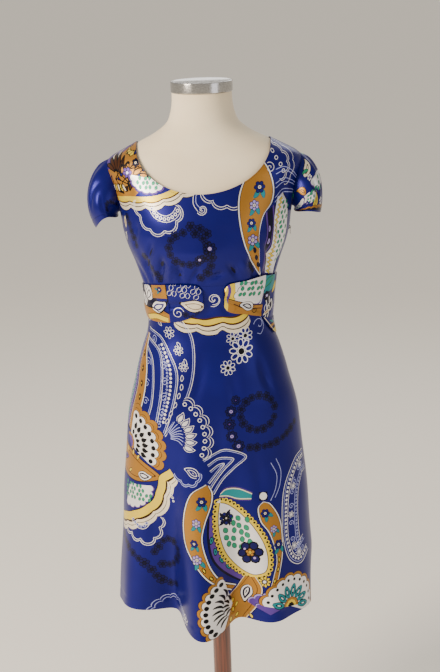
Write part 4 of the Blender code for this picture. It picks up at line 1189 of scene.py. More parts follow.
# The quiet sleeve: bare blue, with a few pale chevrons and a dark flower trail at its back.
for x, y in ((-22, 66), (-20, 60), (-18, 54)):
    d.line("pale_line", [(x - 4, y + 4), (x + 2, y), (x - 4, y - 4)], 1.1)
for x, y in ((-16, 70), (-26, 70)):
    d.line("pale_line", [(x, y), (x - 5, y + 8)], 1.0)
scalloped_line(d, "pale_line", [(100, 70), (92, 48), (98, 26)], 3, 4.0, (0.0, 3.4))
dark_trail(d, [(120, 14), (108, 40), (116, 74)], 20, (6.5, 5.5))
dark_trail(d, [(-104, 12), (-88, 38), (-96, 72)], 20, (6.5, 5.5))
for sleeve_print in (LEFT_SLEEVE_PRINT, RIGHT_SLEEVE_PRINT):
    sleeve_print.stitches("navy", np.stack([np.linspace(-149, 149, 160), np.full(160, 86.5)], 1))
SEWN_IN = {"spacing": 0.004, "held": "gathered", "rests_on": ("bodice_front", "bodice_back"),
           "fullness": CAP_SHARE}
sewn_piece("left_sleeve", "sleeve_left", sleeve_place(1.0, 0.2165, 1.2090, 0.009, 0.044), sleeve_outline(),
           LEFT_SLEEVE_PRINT, satin, **SEWN_IN)
sewn_piece("right_sleeve", "sleeve_right", sleeve_place(-1.0, 0.2095, 1.1925, 0.028, 0.049), sleeve_outline(),
           RIGHT_SLEEVE_PRINT, satin, **SEWN_IN)

# ================================================================ the front skirt
# An A-line panel cut on the fold, whose lower part hangs in soft flutes. It is sewn to the bodice under
# the bust and to the back skirt at the sides, and its hem is turned up 20 mm and blind stitched.
FLUTES = (
    # angle, depth, width, start_height
    (2.0, -0.006, 22.0, 0.880),
    (6.0, -0.022, 11.0, 0.540),
    (36.0, 0.008, 13.0, 0.740),
    (59.0, 0.016, 11.0, 0.800),
    (78.0, -0.036, 11.0, 0.780),
    (99.0, 0.044, 12.0, 0.900),
    (123.0, -0.052, 13.0, 0.860),
    (150.0, 0.014, 14.0, 0.760),
    (176.0, 0.006, 12.0, 0.640),
    (203.0, -0.022, 12.0, 0.780),
    (226.0, 0.026, 12.0, 0.840),
    (250.0, -0.028, 12.0, 0.800),
    (273.0, 0.030, 12.0, 0.860),
    (297.0, -0.026, 12.0, 0.800),
    (320.0, 0.024, 12.0, 0.820),
    (343.0, -0.016, 11.0, 0.700),
)
HEM_RISES = (
    # angle, rise
    (0.0, 0.008),
    (30.0, 0.014),
    (60.0, 0.009),
    (80.0, 0.008),
    (99.0, -0.003),
    (124.0, 0.016),
    (150.0, 0.023),
    (180.0, 0.016),
    (250.0, 0.010),
    (290.0, 0.010),
    (360.0, 0.008),
)
HEM_DEPTH = 0.020
SKIRT_CREASES = (
    # across, height, half_length, half_width, depth, turn, bend
    (-0.030, 0.900, 0.090, 0.0108, 0.0034, 74.0, 0.008),
    (0.045, 0.880, 0.100, 0.0120, 0.0031, 98.0, -0.008),
    (-0.100, 0.860, 0.080, 0.0108, 0.0031, 66.0, 0.006),
    (0.110, 0.905, 0.070, 0.0096, 0.0031, 112.0, -0.006),
    (0.005, 0.760, 0.110, 0.0144, 0.0037, 84.0, 0.010),
    (-0.075, 0.700, 0.120, 0.0132, 0.0034, 78.0, -0.008),
    (0.085, 0.700, 0.110, 0.0132, 0.0031, 95.0, 0.008),
    (-0.010, 1.030, 0.050, 0.0084, 0.0020, 60.0, 0.004),
    (-0.145, 0.600, 0.090, 0.0120, 0.0031, 80.0, 0.006),
    (0.150, 0.590, 0.090, 0.0120, 0.0027, 100.0, -0.006),
    (0.030, 1.045, 0.035, 0.0072, 0.0017, 120.0, 0.003),
)


def flute_depth(angle, height):
    depth = np.zeros_like(height)
    for middle, deepest, width, start in FLUTES:
        away = (angle - middle + 180.0) % 360.0 - 180.0
        grown = np.maximum(0.0, start - height) / (start - HEM)
        depth += deepest * grown ** 1.5 * np.exp(-(away / width) ** 2)
    return depth


def hem_height(angle):
    return HEM + table_value(HEM_RISES, 1, np.asarray(angle, float))


def skirt_place(centre, creases):
    def place(across, height):
        angle = angle_of(across, height, centre)
        lift = flute_depth(angle, height) - crease_depth(creases, across, height)
        lift -= 0.0006 * np.exp(-((height - hem_height(angle) - HEM_DEPTH) / 0.0016) ** 2)
        lift -= seam_roll(waist_seam(angle) - height)
        return dress_point(angle, height, lift)
    return place


def skirt_outline(first_angle, centre):
    angles = first_angle + inside_seams(np.linspace(0.0, 180.0, 160))
    tops, bottoms = waist_seam(angles) - 0.5 * SEAM_GAP, hem_height(angles)
    rise = np.linspace(0.0, 1.0, 90)[1:-1]
    low = [(angle, height) for angle, height in zip(angles[::-1], bottoms[::-1])]
    near = [(angles[0], bottoms[0] + (tops[0] - bottoms[0]) * t) for t in rise]
    high = [(angle, height) for angle, height in zip(angles, tops)]
    far = [(angles[-1], tops[-1] + (bottoms[-1] - tops[-1]) * t) for t in rise]
    return cloth_outline(low + near + high + far, centre)


d = FRONT_SKIRT_PRINT = Drawing()
# The yellow and cream scalloped band under the sash, and the open flowers beside it.
scalloped_band(d, [(72, 1040), (46, 1032), (14, 1034), (-12, 1030), (-40, 1036), (-66, 1040)], 3, 11.0,
               "ink 24, cream 22.6, ink 17.4, cream 16, brown 11.2, yellow 8.8, brown 1.6")
for x, y, size, petals in ((67, 992, 16, 8), (42, 989, 13, 7), (58, 964, 24, 9), (31, 935, 15, 8)):
    open_flower(d, x, y, size, petals, 2.3 * x, "white", "royal", "ink")
curl(d, "pale_line", 100, 1008, 14, 170, -0.9, 1.3)
d.curve("pale_line", [(88, 1030), (104, 1022), (112, 1004), (104, 990), (94, 992)], 20, 1.2)
curl(d, "white", 8, 1068, 15, 250, 1.35, 1.3)
curl(d, "white", 10, 1068, 11, 250, 1.2, 1.2)
# The large hip paisley in pale lines, with flowers, leaves, beads and curls between its rims.
rims = ([(-58, 1032), (-38, 1005), (-31, 971), (-34, 924), (-47, 881), (-74, 832), (-96, 802)],
        [(-140, 1002), (-100, 991), (-76, 956), (-65, 923), (-71, 880), (-83, 840), (-96, 808)],
        [(-157, 990), (-107, 969), (-96, 933), (-100, 882), (-110, 837), (-116, 816)],
        [(-146, 972), (-122, 950), (-117, 910), (-121, 866), (-130, 838)])
for points in rims:
    rim = smooth_path(points, 60)
    d.line("white", rim, 1.35)
    d.line("pale_line", side_path(rim, -3.6), 1.1)
for x, y, size in ((-81, 1001, 12), (-62, 969, 10), (-53, 939, 10)):
    open_flower(d, x, y, size, 7, 3.0 * y, "white", "royal", "royal")
leaves(d, ((-78, 1020, 60), (-96, 1012, 140), (-66, 985, 300), (-52, 955, 280), (-57, 925, 262),
           (-58, 908, 258), (-63, 891, 250), (-70, 873, 245), (-79, 856, 240), (-87, 840, 235),
           (-148, 1012, 30)), 15, 6.5, "white, royal 1.2", 0.1)
beads = smooth_path([(-100, 980), (-88, 956), (-80, 930), (-81, 900), (-87, 872), (-94, 846), (-100, 826)],
                    30)
bead_row(d, beads, 2.9, 8.0, "white")
bead_row(d, side_path(beads, -7.0), 2.2, 6.5, "pale_line", "royal")
for x, y, radius, first in ((-94, 938, 9, 20), (-92, 908, 8, 60), (-96, 878, 9, 40), (-101, 848, 8, 20),
                            (-108, 824, 7, 60), (-134, 940, 9, 330), (-136, 900, 9, 30), (-138, 866, 8, 10),
                            (-120, 984, 8, 300)):
    curl(d, "pale_line", x, y, radius, first, 1.4, 1.2)
# The tan strip at the wearer's right hip, with purple and teal beyond it.
left_edge = smooth_path([(-148, 990), (-158, 960), (-166, 930), (-168, 889), (-182, 845), (-197, 805)], 36)
right_edge = smooth_path([(-140, 990), (-142, 960), (-137, 923), (-143, 876), (-158, 835), (-184, 795)], 36)
d.patch("ink", ring_of(right_edge + (2.8, 0), left_edge - (34, 0)))
d.patch("purple", ring_of(left_edge - (3, 0), left_edge - (14, 0)))
d.patch("teal", ring_of(left_edge - (15, 0), left_edge - (33, 0)))
d.patch("white", ring_of(right_edge + (1.2, 0), left_edge))
d.patch("tan", ring_of(right_edge - (1.6, 0), left_edge + (1.0, 0)))
bead_row(d, left_edge - (9, 0), 2.6, 8.0, "lilac", "ink")
bead_row(d, left_edge - (24, 0), 3.4, 10.0, "white", "ink")
for x, y, turn in ((-150, 960, 262), (-151, 932, 258), (-153, 904, 268), (-156, 878, 262), (-163, 852, 250),
                   (-174, 828, 240)):
    leaf(d, x, y, 16, 7.5, turn, "ink, brown 1.3", 0.05)
    d.disc("yellow", *(placed([(8, 0)], x, y, turn)[0]), 1.5, 8)
# A fan in pale lines that opens from the paisley's foot.
for inset in (0.0, 5.4):
    fan(d, -94, 803, 92 - inset, -28, 62, 6, "white, royal 1.4")
fan_beads(d, -94, 803, 77, -24, 58, 9, 4.4, "white")
fan_beads(d, -94, 803, 77, -24, 58, 9, 2.6, "royal")
for x, y, turn in sprayed(-94, 803, 64, -20, 54, 6):
    small_drop(d, x, y, 26, turn + 184, "white, royal 1.3, white 3.6", 0.10)
for rays in zip(sprayed(-94, 803, 10, -24, 58, 8), sprayed(-92, 806, 24, -24, 58, 8),
                sprayed(-94, 803, 36, -24, 58, 8)):
    d.line("pale_line", smooth_path([place[:2] for place in rays], 8), 1.3)
# The white fan with black dots and a tan scalloped border at the wearer's right.
fan(d, -192, 776, 96, -34, 76, 7, "ink, tan 1.2, brown 11, tan 12.2, ink 17, white 18.4", 0.88)
fan_beads(d, -192, 776, 68, -28, 68, 8, 5.0, "ink", 0.88)
for reach, count, length in ((58, 7, 17), (38, 5, 14)):
    for x, y, turn in sprayed(-192, 776, reach, -24, 62, count, 0.88):
        small_drop(d, x, y, length, turn + 176, "ink", 0.14)
fan(d, -192, 776, 18, -60, 120, 4, "ink, tan 1, purple 6")
# Below it: a tan body, green leaves on white, then yellow and cream bands.
swelling(d, smooth_path([(-250, 752), (-210, 738), (-172, 728), (-140, 722), (-112, 716)], 30),
         28.0 * np.sin(math.pi * np.linspace(0.35, 0.97, 30)) + 2.0, "ink, tan 1.6, brown 9, tan 10.4")
leaves(d, ((-196, 752, 120), (-178, 748, 80), (-206, 736, 160), (-184, 726, 220), (-166, 742, 60)), 17, 7,
       "ink, yellow 1.1", 0.12)
leaf(d, -232, 728, 40, 14, 20, "ink, purple 1.4, navy 4.6", 0.14)
small_drop(d, -128, 718, 36, 176, "ink, white 1.6, navy 4.2, white 7.2", 0.1)
fan(d, -190, 694, 62, -106, 6, 7, "ink, purple 1.2, white 4", 0.80)
leaf_field(d, -172, 676, 74, 34, 0, 4, 7, 10.5, lambda u, v: u < 0.50 - 0.45 * abs(v + 0.2))
path = smooth_path([(-92, 738), (-116, 722), (-124, 696), (-136, 670), (-162, 650), (-200, 634), (-240, 622)],
                   73)
for offset, colour, wide in ((0.0, "ink", 31.0), (1.2, "yellow", 15.0), (16.8, "brown", 1.3),
                             (18.4, "cream", 5.0), (24.2, "ink", 1.1), (25.4, "cream", 4.6)):
    bump = scallop(path, 6, 7.0) * min(1.0, 0.25 + offset / 24.0)
    d.strip(colour, side_path(path, offset + 0.6 * bump), side_path(path, offset + wide + bump))
scalloped_line(d, "white", [(-206, 606), (-184, 597), (-166, 590), (-148, 586), (-134, 600), (-122, 634)], 5,
               -8.0, (0.0, -4.2), 1.35)
arc = smooth_path([(-186, 622), (-172, 610), (-154, 608), (-142, 622)], 20)
d.line("white", arc, 1.2)
bead_row(d, side_path(arc, 5.0), 3.0, 7.4, "pale_line", "royal")
dark_trail(d, [(-222, 578), (-196, 562), (-170, 546), (-150, 528), (-138, 506), (-122, 492), (-98, 492)], 40,
           (9.0, 8.0, 10.5))
dark_trail(d, [(-140, 560), (-118, 586), (-95, 583), (-85, 561), (-106, 534), (-130, 533)], 34,
           (8.0, 9.5, 7.5))
open_flower(d, -74, 436, 12, 7, 10, "white", "royal", "royal")
# The dark spiral of flowers on the wearer's left, some with lilac hearts.
turns = np.radians(np.linspace(12, 352, 60))
flower_chain(d, np.stack([88 + 36 * np.cos(turns), 844 + 33 * np.sin(turns)], 1), (9.0, 8.0, 9.6))
for x, y, size in ((44, 872, 10), (34, 852, 12), (30, 828, 12.5), (34, 804, 12), (46, 784, 13)):
    flower(d, x, y, size, 8, 2.0 * y, "ink", "dusk", "lilac" if size in (12, 13) else "navy", "purple")
dark_trail(d, [(68, 779), (90, 777), (114, 779), (142, 787), (180, 808)], 30, (8.4, 9.6, 7.2))
# Pale horns at centre front.
for points in ([(-22, 762), (0, 773), (26, 779), (61, 763), (38, 742), (14, 720), (-4, 694)],
               [(-14, 752), (8, 763), (36, 760), (18, 740), (-2, 716), (-12, 700)],
               [(-10, 740), (6, 750), (18, 751), (4, 734), (-12, 716)]):
    horn = smooth_path(points, 50)
    d.line("white", horn, 1.3)
    d.line("pale_line", side_path(horn, -3.2), 1.1)
small_drop(d, -62, 742, 34, -26, "white, royal 1.4, white 4.8, royal 6, white 9")
scalloped_line(d, "pale_line", [(-84, 726), (-62, 712), (-38, 716), (-26, 736)], 4, -4.0, (0.0, 3.6))
bead_row(d, smooth_path([(-100, 700), (-92, 684), (-88, 664)], 12), 2.6, 7.0, "white", "royal")
# The pale paisley at the wearer's left hip, close set with lines, beads, flowers and curls.
rim = smooth_path([(206, 744), (176, 738), (152, 712), (138, 684), (132, 650), (131, 610), (134, 570),
                   (146, 538), (172, 524), (206, 540)], 80)
for offset, colour, wide in ((0.0, "white", 1.5), (4.6, "pale_line", 1.1), (15.0, "white", 1.3),
                             (32.0, "pale_line", 1.2), (42.0, "white", 1.2)):
    d.line(colour, side_path(rim, offset), wide)
bead_row(d, side_path(rim, 10.0), 2.8, 8.0, "white")
bead_row(d, side_path(rim, 37.0), 2.4, 7.0, "pale_line", "royal")
middle = side_path(rim, 23.5)
for step in range(4, 78, 8):
    curl(d, "pale_line", *middle[step], 6.4, 40.0 * step, 1.3, 1.2)
    if step % 16 == 4:
        open_flower(d, *middle[step + 4], 7.5, 6, 7.0 * step, "white", "royal", "white")
for points in ([(110, 742), (122, 716), (118, 690), (106, 668)],
               [(122, 748), (132, 722), (128, 694), (116, 672)]):
    d.curve("pale_line", points, 20, 1.2)
# Two tan crescents, edged in white, with flowers and teal leaves down their middles.
body_between(d, [(-19, 715), (-47, 696), (-62, 661), (-67, 623), (-62, 589), (-43, 560), (-21, 531), (4, 506),
                 (24, 491)], [(-12, 712), (-6, 696), (-9, 674), (-21, 641), (-27, 611), (-22, 580),
                              (-10, 546), (9, 517), (36, 499)], "ink -1.4, white, ink 2.4, tan 3.6")
body_between(d, [(90, 668), (80, 656), (84, 630), (99, 606), (109, 576), (113, 548), (106, 522), (98, 496),
                 (81, 458)], [(94, 668), (107, 661), (124, 632), (130, 602), (129, 562), (122, 532),
                              (112, 503), (97, 473), (84, 449)], "ink -1.4, white, ink 2.4, tan 3.4")
tan_flowers(d, ((-27, 682, 262), (-38, 640, 262), (-43, 600, 268), (-38, 570, 285), (94, 645, 300),
                (110, 611, 290), (119, 578, 268)), 10.5)
for x, y, turn, length in ((-30, 556, 300, 14), (-18, 538, 306, 13), (-6, 524, 312, 12), (8, 510, 318, 11),
                           (118, 556, 268, 16), (116, 536, 255, 13), (108, 514, 250, 12)):
    leaf(d, x, y, length, 6.5, turn, "ink, yellow 1.8", 0.06)
# Between them a white drop with green leaves and navy flowers, its rim beaded in yellow.
body_between(d, [(-16, 650), (-18, 612), (-12, 572), (6, 540), (34, 512), (62, 500)],
             [(-6, 656), (-4, 612), (4, 580), (22, 552), (44, 530), (66, 514)], "ink -1, navy, purple 3")
leaves(d, ((-12, 616, 262), (-8, 592, 276), (0, 570, 296), (12, 550, 306), (28, 534, 318)), 19, 8,
       "ink, teal 1.2, navy 3.2", 0.12)
big_drop = smooth_path([(2, 684), (-3, 648), (-1, 610), (11, 569), (36, 534), (62, 517), (82, 518), (97, 529),
                        (101, 556), (94, 588), (76, 622), (51, 652), (24, 675), (2, 684)], 90)
rim = side_path(big_drop, -1.4)
bead_row(d, rim, 5.4, 9.4, "ink")
for inset, colour in ((-2.0, "ink"), (-0.8, "yellow")):
    d.patch(colour, side_path(big_drop, inset))
bead_row(d, rim, 4.6, 9.4, "yellow", "ink")
for inset, colour in ((4.8, "brown"), (6.2, "white")):
    d.patch(colour, side_path(big_drop, inset))
leaf_field(d, 42, 604, 66, 78, 38, 6, 4, 16.5, lambda u, v: (2.1 * u) ** 2 + (1.9 * v) ** 2 < 1.0)
flower(d, 18, 643, 14, 7, 12, "ink", "royal", "navy", "cream")
for turn in (60, 130, 215, 290):
    leaf(d, 18, 643, 20, 6, turn, "ink, navy 1", 0.1)
flower(d, 64, 567, 25, 6, 5, "ink", "dusk", "navy")
flower(d, 64, 567, 9, 5, 20, "ink", "tan", "yellow", "brown")
d.disc("lilac", 72, 556, 2.6, 8)
d.disc("lilac", 54, 574, 2.4, 8)
body_between(d, [(8, 694), (20, 702), (44, 700), (70, 688)], [(6, 688), (22, 686), (42, 678), (68, 676)],
             "purple -2.4, ink -1.2, cream, teal 2.2")
open_flower(d, 88, 508, 12, 9, 0, "ink", "yellow", "white")
d.disc("navy", 92, 679, 12, 4, 1.0, 45.0)
d.disc("white", 92, 679, 7.5, 12)
# The tan paddle with a white and navy drop, over the hem.
body_between(d, [(52, 516), (36, 494), (18, 481), (12, 461), (6, 432), (-4, 404)],
             [(74, 516), (84, 494), (80, 472), (72, 450), (60, 430), (46, 404)],
             "ink -1.2, cream, tan 1.6, brown 8, tan 9.2")
small_drop(d, 54, 456, 44, 76, "ink, white 1.6, navy 5.4, white 9, navy 11.2", 0.1)
leaves(d, ((28, 476, 250), (38, 464, 240), (26, 456, 270), (22, 438, 255), (40, 440, 230), (60, 438, 300)),
       15, 6.5, "ink, yellow 1.1", 0.1)
# The fans along the hem: white with black dots, purple scallops, and white with teal leaves.
fan(d, 26, 462, 66, 108, 244, 9, "ink, tan 1.2, ink 6.2, white 7.4", 1.12)
fan_beads(d, 26, 462, 51, 116, 238, 11, 4.6, "ink", 1.12)
for reach, count, length in ((43, 8, 20), (24, 5, 14)):
    for x, y, turn in sprayed(26, 462, reach, 120, 232, count, 1.12):
        leaf(d, x, y, 1.3 * length, 5.0, turn + 168, "ink", 0.22)
fan(d, 96, 440, 46, 20, 150, 6, "ink, lilac 1.2, purple 4, ink 16, lilac 17.2, purple 19")
fan(d, 142, 446, 68, -30, 168, 9, "ink, tan 1.2, ink 5.6, white 6.8")
fan_beads(d, 142, 446, 53, -20, 158, 12, 3.2, "ink")
leaves(d, sprayed(142, 446, 14, -10, 158, 7), 34, 15, "ink, teal 1.3, navy 5, white 6.2", 0.04)
fan(d, 142, 446, 19, -10, 168, 5, "ink, tan 1.2, yellow 6, ink 11")
fan(d, -118, 420, 46, 20, 170, 6, "pale_line, royal 1.4, pale_line 6, royal 7.2")

sewn_piece("front_skirt", "skirt_front", skirt_place(90.0, SKIRT_CREASES), skirt_outline(0.0, 90.0),
           FRONT_SKIRT_PRINT, satin, spacing=0.007, rests_on=("bodice_front",))

# ================================================================ the back skirt
# The same A-line panel at the back, hung in similar flutes. It is not seen in front, and another part of
# the print's repeat falls on it.
BACK_SKIRT_PRINT = Drawing()
BACK_SKIRT_PRINT.moved(FRONT_SKIRT_PRINT, 16.0, -8.0, mirrored=True)
sewn_piece("back_skirt", "skirt_back",
           skirt_place(270.0, [(-x, z + 0.012, *rest) for x, z, *rest in SKIRT_CREASES]),
           skirt_outline(180.0, 270.0), BACK_SKIRT_PRINT, satin, spacing=0.007,
           rests_on=("bodice_back", "skirt_front"))

# ================================================================ the sash
# A band of the satin, folded lengthwise, from a busier part of the print. It is pinched and puffed over
# the seam under the bust, knotted at the wearer's left, and its short tapered end hangs below the knot.
BELT_BASE = CLOTH + 0.0011
BELT_PUFF = 0.0052
BELT_LEVEL = 1.060            # where its places across are measured
TAIL_LIFT = CLOTH + 0.0025
TAIL_TIP = 0.9835
WING = (
    # angle, bottom, top
    (95.0, 1.0520, 1.0870),
    (99.0, 1.0430, 1.0960),
    (110.0, 1.0300, 1.0985),
    (122.0, 1.0230, 1.0975),
    (140.0, 1.0190, 1.0930),
    (160.0, 1.0180, 1.0870),
    (180.0, 1.0180, 1.0810),
)
LOOP = (
    # angle, bottom, top
    (38.5, 1.0230, 1.1050),
    (48.0, 1.0280, 1.1040),
    (58.0, 1.0340, 1.1010),
    (68.0, 1.0380, 1.0990),
    (74.0, 1.0440, 1.0960),
    (77.0, 1.0530, 1.0870),
)
KNOT = (
    # angle, bottom, top
    (0.3, 1.0100, 1.0940),
    (12.0, 1.0120, 1.0960),
    (26.0, 1.0160, 1.1000),
    (38.2, 1.0215, 1.1035),
)
BACK_BAND = (
    # angle, bottom, top
    (180.6, 1.0180, 1.0810),
    (215.0, 1.0180, 1.0760),
    (325.0, 1.0150, 1.0760),
    (359.9, 1.0120, 1.0880),
)


def puffed(v):
    return BELT_PUFF * (1.0 - np.abs(2.0 * v - 1.0) ** 2.6)


def trough(value, middle, width):
    return np.exp(-((value - middle) / width) ** 2)


def wing_lift(u, v):
    """Puffed band with a pinch and a crease that runs from it to the rounded end."""
    pinch = trough(u, 0.56, 0.07)
    crease = trough(v, 0.46 - 0.10 * u, 0.11) * smooth_step((0.60 - u) / 0.25) * smooth_step(u / 0.2)
    second = trough(v, 0.56, 0.12) * smooth_step((u - 0.58) / 0.2)
    folds = 0.0009 * np.sin(19.0 * v + 5.0 * u) * trough(u, 0.56, 0.20) * np.sin(math.pi * v)
    return puffed(v) * (1.0 - 0.55 * pinch) * (1.0 - 0.75 * crease) * (1.0 - 0.5 * second) - np.abs(folds)


def loop_lift(u, v):
    """A loop with a fold that runs low from its left end: the lip under it lies flatter."""
    fold = trough(v, 0.10 + 0.42 * u, 0.10)
    folds = 0.0008 * np.abs(np.sin(15.0 * v - 6.0 * u)) * smooth_step((0.5 - u) / 0.5) * np.sin(math.pi * v)
    return puffed(v) * (1.25 - 0.85 * fold) * (0.75 + 0.25 * smooth_step(u / 0.15)) - folds


def knot_lift(u, v):
    ridge = 0.5 + 0.5 * np.sin(math.pi * u)
    folds = 0.0010 * np.abs(np.sin(3.2 * math.pi * u + 2.0 * v)) * np.sin(math.pi * v)
    return puffed(v) * ridge + 0.0012 * np.sin(math.pi * u) - folds


def back_lift(u, v):
    return 0.35 * puffed(v) - 0.0004 * np.abs(np.sin(9.0 * v + 7.0 * u)) * np.sin(math.pi * v)


def sash_place(table, shape_lift, centre):
    first, last = table[0][0], table[-1][0]

    def place(across, height):
        angle = angle_of(across, np.full_like(height, BELT_LEVEL), centre)
        bottom, top = table_value(table, 1, angle), table_value(table, 2, angle)
        u = np.clip((angle - first) / (last - first), 0.0, 1.0)
        v = np.clip((height - bottom) / (top - bottom), 0.0, 1.0)
        return dress_point(angle, height, BELT_BASE + shape_lift(u, v))
    return place


def sash_outline(table, centre):
    angles = np.linspace(table[0][0], table[-1][0], 90)
    bottoms, tops = table_value(table, 1, angles), table_value(table, 2, angles)
    rise = np.linspace(0.0, 1.0, 26)[1:-1]
    across = across_of(angles, np.full_like(angles, BELT_LEVEL), centre)
    low = np.stack([across[::-1], bottoms[::-1]], 1)
    near = np.stack([np.full(24, across[0]), bottoms[0] + (tops[0] - bottoms[0]) * rise], 1)
    high = np.stack([across, tops], 1)
    far = np.stack([np.full(24, across[-1]), tops[-1] + (bottoms[-1] - tops[-1]) * rise], 1)
    return np.concatenate([low, near, high, far])


def tail_place(across, height):
    """The sash's short tapered end over its flat piece, 50 mm wide and 30 mm long."""
    u, v = np.clip(0.5 - across / 0.050, 0.0, 1.0), np.clip(height / 0.030, 0.0, 1.0)
    half = 2.5 + 14.0 * v ** 0.8
    angle = 11.0 + 9.0 * v + half * (2.0 * u - 1.0)
    top_height = table_value(KNOT, 1, np.clip(angle, 0.3, 38.2)) - 2.0 * SEAM_GAP
    rounding = 0.004 * (1.0 - v) * (2.0 * u - 1.0) ** 2
    level = TAIL_TIP + (top_height - TAIL_TIP) * v - rounding
    return dress_point(angle, level, TAIL_LIFT + 0.0016 * np.sin(math.pi * u) * (0.4 + 0.6 * v))


d = WING_PRINT = Drawing()
d.patch("navy", [(-220, 1010), (-101, 1010), (-103, 1105), (-220, 1105)])
for x, y, turn in ((-124, 1062, 80), (-142, 1076, 250), (-158, 1048, 80), (-118, 1094, 250)):
    drop(d, x, y, 36, 22, turn, "ink, white 1.2, navy 6, white 8", 0.14)
d.patch("tan", [(-112, 1066), (-74, 1070), (-72, 1106), (-108, 1106)])
d.line("ink", [(-113, 1066), (-109, 1106)], 1.6)
tan_flowers(d, ((-90, 1086, 200),), 6.0)
d.patch("royal", [(-76, 1010), (-10, 1010), (-10, 1106), (-76, 1106)])
d.line("ink", [(-76, 1106), (-75, 1064)], 2.4)
leaf_field(d, -46, 1083, 60, 32, -8, 3, 5, 14.0, colours=("white", "royal"))
drop(d, -58, 1064, 54, 26, -8, "ink, cream 1.6, brown 6.6, cream 8", -0.06)
d.patch("tan", [(-200, 1008), (-78, 1008), (-76, 1038), (-96, 1046), (-130, 1044), (-200, 1050)])
d.curve("ink", [(-200, 1050), (-130, 1045), (-96, 1047), (-76, 1039)], 16, 1.4)
swelling(d, smooth_path([(-136, 1024), (-108, 1030), (-80, 1026)], 16), np.full(16, 6.0), "brown, yellow 1.2")
small_drop(d, -78, 1066, 46, 205, "ink, white 1.6, royal 6, white 9", 0.12)
d.curve("ink", [(-124, 1050), (-98, 1040), (-84, 1052), (-76, 1066)], 16, 2.0)
curl(d, "white", -58, 1042, 12, 20, 1.5, 1.2)
for x, y in ((-44, 1040), (-32, 1032), (-20, 1040), (-24, 1026)):
    flower(d, x, y, 7.5, 6, 5.0 * x, "ink", "dusk", "navy")

d = LOOP_PRINT = Drawing()
d.patch("yellow", [(10, 1020), (44, 1020), (50, 1072), (42, 1112), (10, 1112)])
d.curve("purple", [(30, 1108), (36, 1088), (34, 1066), (42, 1046), (38, 1026)], 24, 5.0)
d.curve("ink", [(42, 1110), (48, 1090), (47, 1066), (52, 1050)], 20, 1.6)
d.curve("brown", [(24, 1100), (28, 1082), (26, 1060), (30, 1040)], 20, 1.4)
d.patch("white", [(47, 1061), (100, 1050), (112, 1110), (45, 1110)])
fan(d, 74, 1066, 32, 10, 172, 6, "ink, white 1.1", 1.0)
leaf_field(d, 74, 1080, 48, 32, -6, 3, 5, 11.0)
scalloped_line(d, "purple", [(98, 1058), (84, 1052), (66, 1056), (50, 1062)], 4, 3.0, (0.0,), 2.2)
d.patch("tan", [(34, 1068), (60, 1058), (84, 1050), (108, 1046), (108, 1018), (34, 1018)])
d.curve("ink", [(34, 1069), (60, 1059), (84, 1051), (108, 1047)], 20, 1.6)
# A brown line along the loop's fold: painted shade in the fold, over the tan.
d.curve("brown", [(44, 1058), (68, 1046), (104, 1040)], 20, 2.0)
curl(d, "ink", 88, 1040, 8, 90, 1.3, 1.4)
small_drop(d, 52, 1054, 34, -20, "ink, white 1.2, navy 4.6, white 7", 0.1)

d = KNOT_PRINT = Drawing()
d.patch("tan", [(96, 1000), (106, 1000), (104, 1110), (96, 1110)])
d.line("ink", [(106, 1000), (104, 1110)], 1.8)
body_between(d, [(112, 1006), (118, 1034), (112, 1060)], [(122, 1006), (128, 1036), (124, 1062)],
             "ink -1.2, white, navy 2.4")
d.patch("teal", [(108, 1062), (134, 1074), (140, 1112), (100, 1112), (100, 1070)])
leaf(d, 104, 1076, 36, 14, 40, "ink, green 1, teal 4", 0.1)
flower(d, 116, 1062, 10, 7, 0, "ink", "navy", "lilac", "white")
small_drop(d, 132, 1056, 30, 250, "ink, white 1.1, navy 3.6", 0.1)
curl(d, "white", 122, 1036, 11, 120, 1.4, 1.3)
leaf(d, 140, 1090, 30, 10, 250, "ink, yellow 1", 0.1)
leaf(d, 108, 1022, 26, 9, 20, "ink, cream 1, tan 3", 0.1)
curl(d, "pale_line", 152, 1060, 12, 60, 1.3, 1.2)
flower(d, 160, 1084, 9, 6, 0, "ink", "tan", "navy", "cream")
flower(d, 152, 1030, 9, 6, 0, "ink", "lilac", "navy", "cream")

d = TAIL_PRINT = Drawing()
d.patch("tan", [(-26, 12), (26, 12), (26, 20), (-26, 17)])
d.patch("yellow", [(-26, -2), (26, -2), (26, 9), (-26, 8)])
d.line("ink", [(-26, 9), (26, 10)], 1.6)
d.line("ink", [(-26, 17), (26, 20)], 1.4)
d.curve("cream", [(-23, 30), (-20, 14), (-21, 0)], 12, 2.4)
curl(d, "white", 6, 21, 7, 100, 1.3, 1.1)
leaf(d, -16, 24, 22, 7, -20, "ink, teal 0.9", 0.1)

d = BAND_PRINT = Drawing()
for number, middle in enumerate(range(-165, 176, 55)):
    colour = ("tan", "yellow", "white")[number % 3]
    drop(d, middle - 20, 1034, 54, 26, 22, f"ink, {colour} 1.3, navy 6, {colour} 7.4", 0.12)
    flower(d, middle + 24, 1060, 9, 7, 10.0 * number, "white", "royal", "lilac", "ink")
    leaf(d, middle + 4, 1066, 22, 8, 150, "ink, green 0.9", 0.1)
    curl(d, "pale_line", middle + 18, 1038, 8, 60, 1.3, 1.1)

